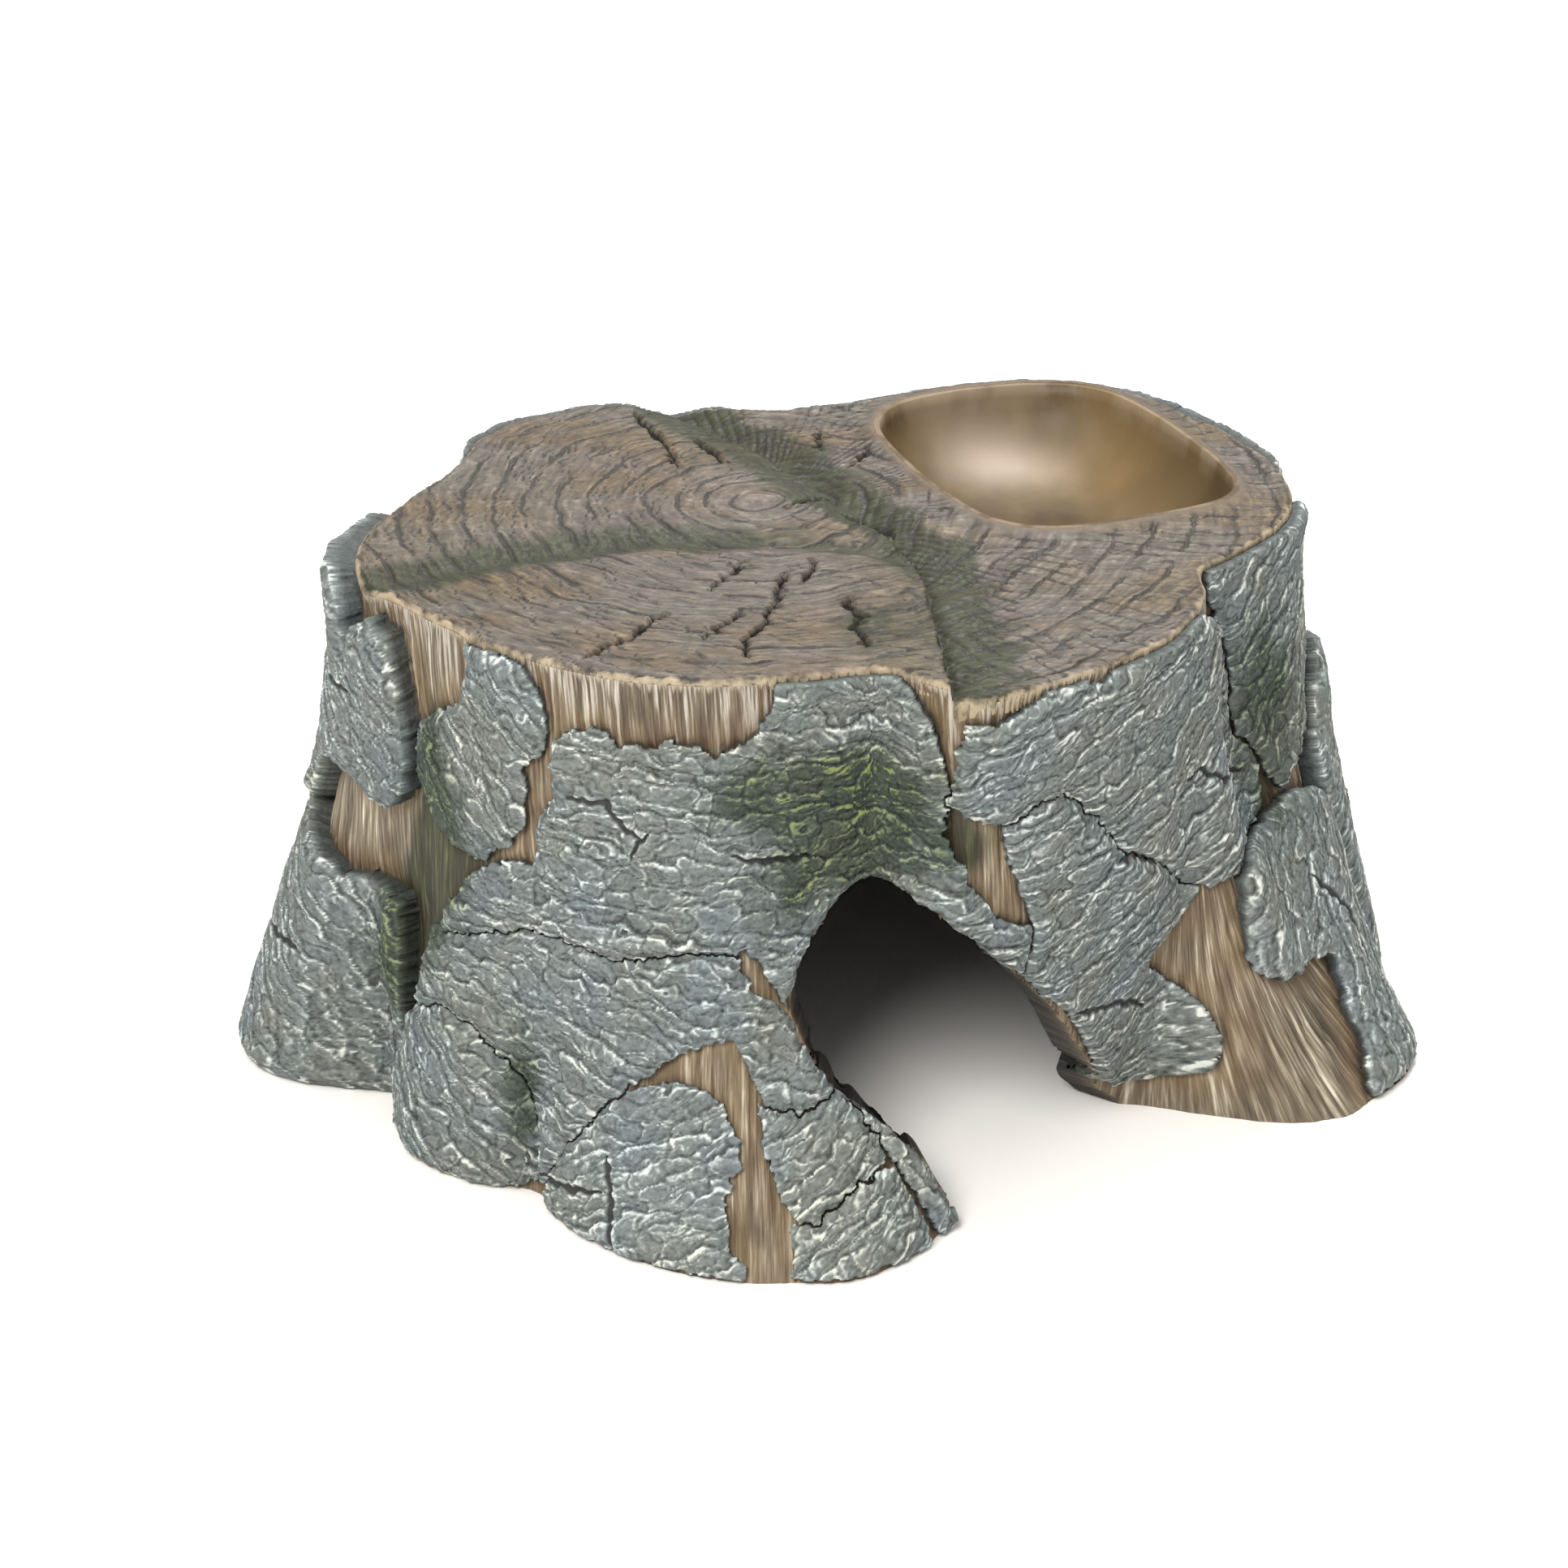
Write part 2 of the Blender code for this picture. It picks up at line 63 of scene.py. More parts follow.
RIM = (
    (0, 87), (10, 94), (24, 97), (40, 98), (54, 98), (63, 92), (74, 80), (86, 70), (100, 68),
    (112, 75), (126, 82), (142, 87), (156, 83), (170, 86), (184, 92), (196, 93), (206, 87),
    (224, 83), (240, 79), (256, 73), (268, 68), (279, 67), (288, 77), (304, 78), (328, 79),
    (338, 77), (347, 74), (354, 80),
)
ROOTS = (
    (6, 110), (14, 119), (22, 123), (32, 115), (45, 99), (60, 92), (76, 96), (88, 96), (102, 90),
    (114, 89), (126, 97), (138, 107), (148, 107), (158, 100), (168, 106), (177, 118), (184, 120),
    (190, 114), (193.5, 104), (196.5, 92), (204, 93), (213, 96), (221, 93), (229, 87), (238, 93),
    (248, 98), (258, 100), (265, 99), (272, 98), (279, 91), (287, 80), (298, 68), (310, 64),
    (322, 63), (330, 64), (333, 72), (335.5, 92), (339, 106), (345, 114), (352, 120), (359, 118),
)
WAISTS = ((280, 16, 7.0), (202, 8, 2.5), (90, 20, 2.0), (347, 8, 2.0))
MOUTH = (
    (289, -4), (286.5, 5), (283, 14), (278, 22), (274, 27), (270.5, 31.5), (268, 36), (266, 41),
    (264, 47), (265, 54), (267, 59.5), (269.5, 63.5), (272, 66), (275, 68), (279, 67), (282.5, 65),
    (286, 62), (290, 58), (295, 52), (300, 45), (307, 36), (313, 26), (319.5, 16), (326, 7),
    (330.5, 2), (332.5, -4),
)
DISH = (
    (11, 53), (14, 65), (23, 72), (35, 76.5), (45, 78), (54, 76.5), (62, 70), (71, 54), (78, 37),
    (81, 25), (80, 18), (74, 12), (60, 5.5), (45, 1.5), (33, 5), (25, 16), (17, 33),
)
SPLIT = (
    (-44, 96), (-35, 70), (-23, 57), (-10, 39), (-2, 25), (5, 13), (11, 0), (17, -16), (18, -28),
    (19, -43), (20, -58), (23, -90),
)
FOLD = ((-112, -34), (-88, -26), (-72, -18), (-60, -12), (-35, -4), (-16, -5), (6, -8), (20, -15))
# mm in plan: the drying cracks in the top
TOP_CRACKS = (
    ((-41, 65), (-37, 54), (-33, 45), (-31, 33)),
    ((-28, 49), (-24, 42), (-21, 36)),
    ((-1, 56), (-2, 50), (-2, 43)),
    ((-1, 23), (-4, 17), (-9, 12)),
    ((9, 46), (7, 39), (4, 34)),
    ((-17, -15), (-18, -20), (-20, -22), (-23, -29)),
    ((-8, -21), (-10, -27), (-10, -33), (-12, -40), (-12, -45), (-16, -53), (-16, -61)),
    ((-3, -16), (-4, -21), (-6, -27)),
    ((-17, -38), (-18, -43), (-21, -47), (-24, -53)),
    ((4, -32), (3, -37), (6, -42), (4, -47), (6, -51), (6, -56)),
    ((-31, -39), (-34, -44), (-37, -51), (-42, -56), (-46, -62)),
    ((2, 13), (9, 7), (13, 2)),
)
RING_RADII = (0, 5, 11, 16, 22, 28, 34, 40, 47, 54, 60, 66, 72, 79, 86, 94, 103, 113)

# name: (grain angle in degrees, azimuth and height round the plate)
PLATES = {
    "left_upper_bark": (-35, (
        (166, 104), (174, 109.5), (183, 111), (190, 111), (193.5, 108), (193.8, 102), (194.3, 97),
        (196, 97.5), (197.5, 103.5), (200.5, 106.5), (203, 104.5), (203.5, 100), (204.2, 93.5),
        (204.5, 85), (204.7, 78), (204, 73), (202, 69.5), (198.7, 67.5), (196, 69), (194, 71),
        (191, 72.5), (187.5, 69), (185, 62), (183, 56), (176, 57.5), (168, 60), (164, 80),
    )),
    "left_root_bark": (-38, (
        (163, 42), (170, 50), (178, 54), (184, 51.5), (189, 50.5), (191.5, 49.5), (193.2, 46.5),
        (194.5, 48), (196, 48.4), (198.7, 47.5), (202.5, 47.3), (203.3, 41), (203, 34), (202.5, 27),
        (201, 21), (199.5, 13.5), (198.3, 7), (197, 1.3), (190, 1.3), (183, 1.3), (176, 1.3),
        (169, 1.3), (163, 2), (160, 20),
    )),
    "front_left_bark": (-40, (
        (217, 108.5), (220.7, 109.6), (224.6, 109.5), (227, 107.7), (228.6, 104.4), (229.5, 100.3),
        (229.4, 96.3), (228.6, 92.7), (226.7, 91.4), (225.8, 88.8), (226.2, 84.8), (226.3, 80.7),
        (225.4, 76), (224, 72.8), (221.4, 70.7), (219.8, 67.5), (217.3, 68), (214, 68.5),
        (210.6, 70.3), (208, 73.5), (206, 78), (205.8, 84), (207, 88.2), (210.5, 92), (214, 95),
        (216.4, 99), (217.3, 104.7),
    )),
    "front_bark": (-4, (
        (213.5, 49.6), (214.5, 53.5), (216.5, 58), (218.3, 62.3), (221, 65.5), (224, 68),
        (226.2, 68.6), (228, 67.6), (229, 71.4), (228.8, 76.4), (229.7, 80), (231.8, 84.5),
        (231.8, 88), (231, 91.5), (231.6, 94), (232.3, 96.5), (234.6, 98.7), (237.8, 99.7),
        (239.8, 97.4), (244.8, 96.7), (247, 99), (249, 98), (251, 98), (252.9, 95.2), (254.5, 97.5),
        (257, 98.5), (259.3, 101.5), (261, 106), (262, 110), (265, 111), (272.4, 111), (278.5, 111),
        (281, 109.5), (282.8, 106.5), (284.7, 102), (285.8, 96.5), (286.6, 91), (286.8, 86),
        (286.4, 80), (287.7, 75.2), (289.4, 70.3), (291.8, 64.8), (294.6, 60.2), (297.8, 58.7),
        (299.4, 57.2), (298.3, 48.6), (295.3, 52), (292.3, 55.5), (289.3, 59.8), (286.2, 63.8),
        (282.5, 66.5), (279, 68), (275, 69), (271.4, 67.8), (269.5, 65), (267.3, 61.3), (265, 57),
        (264, 52), (263.2, 49.5), (261.8, 52.5), (260.7, 55.5), (259.5, 58), (258, 60), (256, 59.6),
        (253, 59.1), (249, 58.7), (244, 56.2), (239, 55.2), (235, 56.2), (229, 56.2), (225, 54.7),
        (218, 51.1),
    )),
    "front_root_bark": (-12, (
        (212, 48.5), (217.5, 50.2), (225, 53.9), (229, 55.4), (235, 55.4), (239, 54.4), (244, 55.4),
        (249, 57.9), (253, 58.3), (256.3, 58.7), (257.2, 56), (258.2, 52.5), (260, 49.7),
        (262, 47.6), (263.8, 45.3), (265, 41.8), (266.7, 37.8), (268.3, 34.2), (269.7, 32),
        (267, 30.2), (265.5, 29), (263.2, 30.3), (261.4, 32), (259.9, 36.3), (258.9, 40),
        (257.8, 43), (255.8, 42.8), (254, 42.5), (251.8, 41), (249.3, 38.7), (246.2, 35),
        (243, 30.3), (240.8, 25.7), (238.2, 20.3), (236, 15), (233.8, 10.5), (232, 5), (231.1, 5),
        (231.2, 10), (230.1, 17), (228.5, 23.2), (226.2, 27.9), (223, 30.7), (220.2, 34),
        (214.6, 33.9), (208.5, 30.5), (210.5, 39),
    )),
    "front_left_foot_bark": (-30, (
        (205.5, 23), (207, 27), (209.5, 29), (214.9, 32.4), (219.4, 32.5), (222, 29.4),
        (225.3, 26.5), (227.4, 22), (228.9, 16.5), (229.9, 9.9), (229.7, 4.3), (226, 1.3),
        (219, 1.3), (212, 1.3), (205.5, 1.3), (203, 8), (203.5, 16),
    )),
    "front_root_left_bark": (25, (
        (233, 4.5), (234.3, 9.5), (237, 15.9), (239.6, 21.4), (242.4, 27.2), (246.3, 31.4),
        (250.5, 33), (252.4, 32.6), (254.4, 31.4), (256, 30), (256.8, 27.4), (257.7, 25.4),
        (258.5, 23.3), (258.6, 20.5), (257.9, 18.3), (257.2, 14.6), (257.6, 11), (258.3, 7),
        (258.6, 4.5), (260, 2.8), (260.3, 1.2), (254, 1.2), (246, 1.2), (238, 1.2), (233.5, 1.2),
    )),
    "front_root_right_bark": (40, (
        (261.2, 30), (263.5, 28.7), (265.6, 27.7), (267.5, 28.8), (269.8, 30.6), (271.1, 30.2),
        (272.5, 27.8), (274, 24.2), (275.6, 20.2), (276.1, 17.4), (275.2, 16.2), (272.8, 15.1),
        (270, 12.3), (267.8, 10.4), (266.3, 10.5), (265.1, 12.4), (264.4, 14.5), (263.5, 18),
        (262.9, 21), (261.8, 24), (262, 27.5),
    )),
    "front_root_tip_bark": (35, (
        (265.9, 9), (268, 8.8), (270.4, 10.9), (273, 13.7), (275.3, 14.7), (276.6, 15),
        (277.6, 13.8), (278.9, 10), (280.2, 6), (281, 3.5), (281.2, 1.2), (274, 1.2), (269, 1.2),
        (266.3, 1.2),
    )),
    "front_root_edge_bark": (-60, (
        (272.9, 30.4), (275.7, 25.3), (278.6, 21), (281, 16), (283, 10.7), (284.9, 4.4),
        (286.4, 1.3), (284.6, 1.3), (283.5, 3), (282.2, 6.6), (280.4, 11.2), (278.2, 16.6),
        (276.4, 21), (274.2, 26),
    )),
    "right_front_upper_bark": (24, (
        (289, 103), (293.2, 102.5), (295.3, 104.4), (298.2, 106.6), (301.4, 107.7), (304.8, 108.2),
        (306.9, 106.4), (309, 106.2), (310.5, 108), (316.6, 109.6), (324.5, 110.3), (330, 109.5),
        (337, 105), (343, 100.5), (348.3, 96.5), (349.6, 93), (349.8, 87), (349.6, 80), (349.4, 74),
        (351.4, 69.5), (351.4, 64.4), (350.8, 60.5), (350, 58.2), (347, 55.4), (341, 54.6),
        (337.7, 52.7), (335.4, 51.5), (333.9, 52.6), (325.5, 61.4), (314.8, 70.2), (311, 76.7),
        (308, 81.5), (305.9, 84.6), (302.8, 86.2), (300.2, 86.1), (298.4, 84.1), (296.6, 82.9),
        (294.5, 82.7), (292.6, 83.6), (290.6, 85), (289, 85.2), (288, 87), (288, 90.4),
        (288.3, 94.9), (288.5, 98.5),
    )),
    "right_front_lower_bark": (22, (
        (294.6, 81.5), (296.8, 81.7), (298.7, 82.9), (300.4, 84.9), (302.5, 85), (305.3, 83.4),
        (307.2, 80.5), (310.2, 75.8), (314, 69), (324.6, 60.3), (332.8, 51.8), (334, 50.4),
        (333.4, 47), (332.3, 42), (330, 39.3), (328.4, 36.8), (329.8, 33.4), (332, 30.5),
        (333.5, 28), (334.3, 23.4), (334.5, 19), (334.5, 15), (334, 10.5), (332.5, 8), (329.5, 7.3),
        (325.2, 9.3), (320.2, 16.4), (316.4, 23.4), (312.5, 30.6), (308.4, 36.6), (303.4, 42.2),
        (299.6, 47.5), (300.7, 53), (300.9, 57), (299.8, 60.5), (298.6, 65.2), (296.8, 71),
        (295.3, 76.5),
    )),
    "right_upper_bark": (38, (
        (347.3, 110.8), (352.8, 110.8), (358, 111), (364, 111), (370, 110), (376, 105), (378, 94),
        (376, 86), (371, 76.5), (366, 70), (361.5, 66), (355.2, 60), (354, 62.5), (353.2, 68.3),
        (352.3, 71.3), (351.2, 74), (351.3, 80), (351.6, 86.7), (351.3, 93), (349.9, 99),
        (347.8, 105),
    )),
    "right_root_bark": (68, (
        (350.3, 56.4), (347.4, 53.8), (341, 53), (338.8, 50.8), (338.4, 44.7), (338.2, 39.9),
        (337.6, 35.2), (338.2, 32.3), (340.1, 29.7), (344.6, 27.4), (346.2, 28.2), (349.4, 27.5),
        (351.2, 26.2), (350.4, 22), (348.9, 17), (348.3, 12.5), (347.8, 8.9), (346, 6), (345, 1.3),
        (352, 1.3), (359, 1.3), (366, 1.3), (369, 3), (371, 16), (369, 30), (366, 42), (362, 52),
        (356, 57.5),
    )),
    "rear_right_root_bark": (30, (
        (4.5, 54), (4.5, 61), (8, 67.5), (12, 71.5), (15, 73), (18, 70), (20.5, 63), (26, 54),
        (31, 42), (34, 26), (32, 8), (28, 1.3), (20, 1.3), (12.5, 1.3), (14, 14), (12.5, 29),
        (9, 42),
    )),
    "rear_right_upper_bark": (-20, (
        (21, 105), (25, 110.5), (35, 111), (44, 110.5), (51, 107), (53, 96), (50, 84), (52, 72),
        (47, 64), (38, 60), (30, 64), (23, 66), (20.5, 78), (22, 90),
    )),
    "rear_right_low_bark": (10, (
        (36, 48), (42, 54), (49, 50), (54, 42), (52, 30), (50, 15), (45, 7), (40, 4), (37, 14),
        (38, 30),
    )),
    "rear_centre_bark": (6, (
        (57, 104), (63, 110.5), (71, 110), (78, 108.5), (86, 110.5), (94, 109.5), (99, 100),
        (97, 84), (101, 70), (99, 55), (94, 46), (85, 40), (76, 44), (67, 38), (59, 46), (57, 58),
        (58, 74), (55, 88),
    )),
    "rear_root_bark": (-8, (
        (56, 28), (66, 32), (76, 38), (85, 34), (94, 40), (101, 30), (104, 16), (102, 3), (95, 1.3),
        (84, 1.3), (72, 1.3), (62, 1.3), (56, 4), (54, 15),
    )),
    "rear_left_upper_bark": (18, (
        (105, 104), (112, 110.5), (121, 110), (130, 111), (140, 110.5), (149, 107), (152, 94),
        (149, 82), (152, 70), (145, 61), (136, 58), (127, 63), (117, 59), (107, 64), (104, 76),
        (107, 90),
    )),
    "rear_left_root_bark": (30, (
        (107, 52), (117, 54), (127, 58), (136, 53), (146, 56), (154, 49), (157, 36), (156, 20),
        (153, 5), (148, 1.3), (138, 1.3), (127, 1.3), (118, 2), (112, 14), (107, 32),
    )),
}
REAR = ("rear_", "left_upper")  # plates the coarser spacing is enough for

# (azimuth, height, width in degrees, height in mm, strength) of painted moss on the walls
MOSS = (
    (268, 87, 12, 11, 1.0), (280, 84, 8, 11, 1.0), (272, 74, 10, 7, 1.0), (258, 90, 8, 6, 0.6),
    (262, 66, 5, 7, 0.5), (290, 76, 4, 7, 0.5), (210, 80, 5, 14, 1.0), (213, 66, 7, 12, 1.0),
    (207, 50, 8, 14, 1.0), (201, 31, 6, 12, 1.0), (227.5, 22, 3.2, 14, 1.0),
    (356, 80, 6, 17, 1.0), (350, 62, 4, 10, 0.6), (100, 46, 8, 28, 0.8), (157, 60, 5, 28, 0.9),
    (52, 52, 4, 22, 0.7), (20, 64, 7, 8, 0.6), (120, 58, 12, 7, 0.5),
)
# (azimuth, height) along the cracks that stop inside a plate
BARK_CRACKS = (
    ((234, 86.3), (238.8, 86.5), (241, 82), (244.2, 80)), ((243, 75.7), (243.5, 79), (245.2, 81)),
    ((256, 78), (258.4, 76.2), (262, 76.2), (265.8, 75.8)),
    ((329, 76.3), (333.8, 77), (339, 70.7), (349, 67)), ((243, 18), (244.2, 9.5), (245.2, 1)),
    ((231, 5.5), (243, 10.3)), ((314, 67.5), (317, 67.5), (322, 63)),
    ((311, 34), (319.6, 32.4), (329.9, 26)), ((181, 92), (190, 88), (196, 90)),
    ((172, 30), (182, 26), (190, 29)), ((352, 42), (356, 30), (355, 18)),
    ((57, 82), (64, 79), (70, 83), (75, 80)), ((101, 60), (95, 63), (90, 58)),
    ((152, 100), (143, 96), (138, 99)), ((107, 40), (115, 37), (121, 41), (126, 36)),
    ((157, 22), (149, 26), (144, 23)), ((84, 40), (86, 48), (83, 55)), ((72, 1), (74, 10), (71, 17)),
    ((52, 92), (44, 89), (40, 92)),
)


# ---------- noise ----------

_shuffle = np.random.RandomState(11).permutation(256)
_table = np.concatenate([_shuffle, _shuffle])
_slopes = np.random.RandomState(12).normal(size=(256, 3))
_slopes /= np.linalg.norm(_slopes, axis=1)[:, None]
_random = np.random.RandomState(13).rand(256, 4)


def _hash(i, j, k):
    return _table[_table[_table[i & 255] + (j & 255)] + (k & 255)]


def noise(x, y, z=0.0, seed=0):
    """Smooth gradient noise, about -1 to 1, one unit to a cell."""
    x, y, z = np.broadcast_arrays(np.asarray(x, float) + seed * 17.3, y, z)
    cell = [np.floor(c).astype(np.int64) for c in (x, y, z)]
    part = [c - f for c, f in zip((x, y, z), cell)]
    ease = [t * t * t * (t * (t * 6 - 15) + 10) for t in part]
    total = 0.0
    for a in (0, 1):
        for b in (0, 1):
            for c in (0, 1):
                slope = _slopes[_hash(cell[0] + a, cell[1] + b, cell[2] + c + seed * 7)]
                weight = (
                    (ease[0] if a else 1 - ease[0]) * (ease[1] if b else 1 - ease[1])
                    * (ease[2] if c else 1 - ease[2])
                )
                total = total + weight * (
                    slope[..., 0] * (part[0] - a) + slope[..., 1] * (part[1] - b)
                    + slope[..., 2] * (part[2] - c)
                )
    return total * 1.6


def cells(x, y, seed):
    """Points scattered one to a cell: how much nearer the nearest is than the next, then the
    nearest's offset and two random numbers of its own."""
    ix, iy = np.floor(x).astype(np.int64), np.floor(y).astype(np.int64)
    best, second = np.full(x.shape, 1e9), np.full(x.shape, 1e9)
    ox, oy, pick = np.zeros(x.shape), np.zeros(x.shape), np.zeros(x.shape, np.int64)
    for a in (-1, 0, 1):
        for b in (-1, 0, 1):
            index = _hash(ix + a, iy + b, np.int64(seed))
            dx = x - ix - a - 0.1 - 0.8 * _random[index, 0]
            dy = y - iy - b - 0.1 - 0.8 * _random[index, 1]
            d = np.hypot(dx, dy)
            near = d < best
            second = np.where(near, best, np.minimum(second, d))
            best = np.where(near, d, best)
            ox, oy = np.where(near, dx, ox), np.where(near, dy, oy)
            pick = np.where(near, index, pick)
    return second - best, ox, oy, _random[pick, 2], _random[pick, 3]


def blur(grid, radius):
    """Gaussian blur of a 2-D grid; radius is in grid steps."""
    reach = max(1, int(radius * 2.5))
    weights = np.exp(-0.5 * (np.arange(-reach, reach + 1) / radius) ** 2)
    weights /= weights.sum()
    for axis in (0, 1):
        pad = [(0, 0), (0, 0)]
        pad[axis] = (reach, reach)
        wide = np.pad(grid, pad, mode="edge")
        count = grid.shape[axis]
        grid = sum(
            w * (wide[i:i + count] if axis == 0 else wide[:, i:i + count])
            for i, w in enumerate(weights)
        )
    return grid


def from_whole(t):
    return np.abs(t - np.round(t))


def smooth(t):
    t = np.clip(t, 0, 1)
    return t * t * (3 - 2 * t)


# ---------- the wall ----------


def ring(points, azimuth):
    angles = np.array([p[0] for p in points], float)
    radii = np.tile([p[1] for p in points], 3).astype(float)
    angles = np.concatenate([angles - 360, angles, angles + 360])
    slopes = np.gradient(radii, angles)
    azimuth = np.asarray(azimuth, float) % 360
    i = np.searchsorted(angles, azimuth) - 1
    span = angles[i + 1] - angles[i]
    t = (azimuth - angles[i]) / span
    return (
        (2 * t**3 - 3 * t**2 + 1) * radii[i] + (t**3 - 2 * t**2 + t) * span * slopes[i]
        + (3 * t**2 - 2 * t**3) * radii[i + 1] + (t**3 - t**2) * span * slopes[i + 1]
    )


def turn_from(azimuth, at):
    return (np.asarray(azimuth) - at + 180) % 360 - 180


def wall_radius(azimuth, z):
    drop = np.clip(1 - np.asarray(z) / HEIGHT, 0, 1)
    top = ring(RIM, azimuth)
    waist = sum(d * np.exp(-(turn_from(azimuth, at) / w) ** 2) for at, w, d in WAISTS)
    return top + (ring(ROOTS, azimuth) - top) * drop**FLARE - waist * np.sin(np.pi * drop)


def wall_point(azimuth, z):
    """Points of the wood's surface with its slow lumps."""
    turn = np.radians(azimuth)
    r = wall_radius(azimuth, z)
    x, y = np.cos(turn), np.sin(turn)
    r = r + 1.1 * noise(x * 3.6, y * 3.6, z / 34, 1) * smooth((HEIGHT - z) / 25)
    r = r + 0.6 * noise(x * 9, y * 9, z / 40, 2) * smooth((HEIGHT - z) / 12)
    return np.stack([r * x, r * y, z + 0 * r], axis=-1)


def wall_frame(azimuth, z):
    """Points of the wall and the wall's outward normal there."""
    azimuth, z = np.broadcast_arrays(np.asarray(azimuth, float), np.asarray(z, float))
    along = wall_point(azimuth + 0.6, z) - wall_point(azimuth - 0.6, z)
    up = wall_point(azimuth, np.minimum(z + 1.2, HEIGHT)) - wall_point(azimuth, np.maximum(z - 1.2, 0))
    normal = np.cross(along, up)
    normal /= np.linalg.norm(normal, axis=-1)[..., None]
    return wall_point(azimuth, z), normal


def outline_distance(x, y, loop):
    """Distance to a closed loop, positive inside it."""
    best = np.full(x.shape, 1e9)
    within = np.zeros(x.shape, bool)
    for (x1, y1), (x2, y2) in zip(loop, loop[1:] + loop[:1]):
        dx, dy = x2 - x1, y2 - y1
        t = np.clip(((x - x1) * dx + (y - y1) * dy) / (dx * dx + dy * dy), 0, 1)
        best = np.minimum(best, np.hypot(x - x1 - t * dx, y - y1 - t * dy))
        if dy:
            within ^= ((y1 > y) != (y2 > y)) & (x < x1 + (y - y1) * dx / dy)
    return np.where(within, best, -best)


def line_distance(x, y, line):
    """Distance to an open line, and which side: positive to the left of its direction."""
    best, side = np.full(x.shape, 1e9), np.zeros(x.shape)
    for (x1, y1), (x2, y2) in zip(line, line[1:]):
        dx, dy = x2 - x1, y2 - y1
        t = np.clip(((x - x1) * dx + (y - y1) * dy) / (dx * dx + dy * dy), 0, 1)
        d = np.hypot(x - x1 - t * dx, y - y1 - t * dy)
        turn = dx * (y - y1) - dy * (x - x1)
        side = np.where(d < best, np.sign(turn), side)
        best = np.minimum(best, d)
    return best, side


def wall_stretch(u, v):
    """Millimetres along the surface to a millimetre of u; large on the steep side of a root."""
    before, after = (wall_radius(u / ARC + side, v) for side in (-0.4, 0.4))
    slope = (after - before) / math.radians(0.8)
    return np.maximum(np.hypot(slope, (after + before) / 2) / 95, 1)


def wander(u, v):
    """The shift that breaks a smooth outline on the wall into a chipped one."""
    su, sv = (
        0.7 * noise(u / 5, v / 4.5, 0, seed) + 0.8 * noise(u / 2.3, v / 2.1, 0, seed + 1)
        + 0.5 * noise(u / 1.1, v / 1.1, 0, seed + 2)
        for seed in (5, 8)
    )
    azimuth = (u / ARC) % 360
    rear = smooth((azimuth - 14) / 12) * smooth((170 - azimuth) / 12)
    su = su + rear * 3.0 * noise(u / 13, v / 11, 0, 15)
    sv = sv + rear * 3.0 * noise(u / 13, v / 11, 0, 16)
    stretch = wall_stretch(u, v)
    return su / stretch**1.5, sv / stretch**0.5


def moss_on_wall(azimuth, z):
    total = sum(
        s * np.exp(-(turn_from(azimuth, a) / w) ** 2 - ((z - h) / t) ** 2) for a, h, w, t, s in MOSS
    )
    return np.clip(total, 0, 1)


# ---------- meshes ----------


def piece(name, points, faces, node_names, materials, values):
    mesh = bpy.data.meshes.new(name)
    mesh.vertices.add(len(points))
    mesh.vertices.foreach_set("co", ((points + CENTRING) * 0.001).astype(np.float32).ravel())
    mesh.loops.add(faces.size)
    mesh.loops.foreach_set("vertex_index", faces.astype(np.int32).ravel())
    mesh.polygons.add(len(faces))
    mesh.polygons.foreach_set("loop_start", np.arange(0, faces.size, 4, dtype=np.int32))
    mesh.update(calc_edges=True)
    mesh.validate()
    mesh.shade_smooth()
    for material in materials:
        mesh.materials.append(material)
    for label, data in values.items():
        layer = mesh.attributes.new(label, "FLOAT", "POINT")
        layer.data.foreach_set("value", np.asarray(data, np.float32).ravel())
    made = bpy.data.objects.new(name, mesh)
    bpy.context.scene.collection.objects.link(made)
    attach(made, "root")
    if node_names:
        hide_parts(*node_names)
    return made


def grid_quads(rows, columns, closed=False):
    index = np.arange(rows * columns).reshape(rows, columns)
    if closed:
        index = np.concatenate([index, index[:, :1]], axis=1)
    return np.stack(
        [index[:-1, :-1], index[:-1, 1:], index[1:, 1:], index[1:, :-1]], axis=-1
    ).reshape(-1, 4)


def border_edges(faces):
    """Directed edges that only one face has."""
    ends = np.concatenate([faces[:, [i, (i + 1) % 4]] for i in range(4)])
    key = np.sort(ends, axis=1)
    _, first, count = np.unique(key, axis=0, return_index=True, return_counts=True)
    return ends[first[count == 1]]


def compact(faces, count):
    used = np.unique(faces)
    index = np.full(count, -1)
    index[used] = np.arange(len(used))
    return used, index[faces]


# ---------- bark ----------

LOOPS = {name: [(a * ARC, z) for a, z in outline] for name, (_, outline) in PLATES.items()}
MOUTH_LOOP = [(a * ARC, z) for a, z in MOUTH]


def growth(name):
    return REAR_GROW if name.startswith("rear_") else GROW


def into_plates(u, v, left_out=None, reach=6.0):
    """Distance into the nearest plate, negative outside the plates, down to minus the reach."""
    best = np.full(u.shape, -reach)
    for name, loop in LOOPS.items():
        if name == left_out:
            continue
        for whole in (-360 * ARC, 0, 360 * ARC):
            moved = [(a + whole, z) for a, z in loop]
            low, high = np.min(moved, axis=0) - reach, np.max(moved, axis=0) + reach
            near = (u > low[0]) & (u < high[0]) & (v > low[1]) & (v < high[1])
            if near.any():
                inside = outline_distance(u[near], v[near], moved) + growth(name)
                best[near] = np.maximum(best[near], inside)
    return best


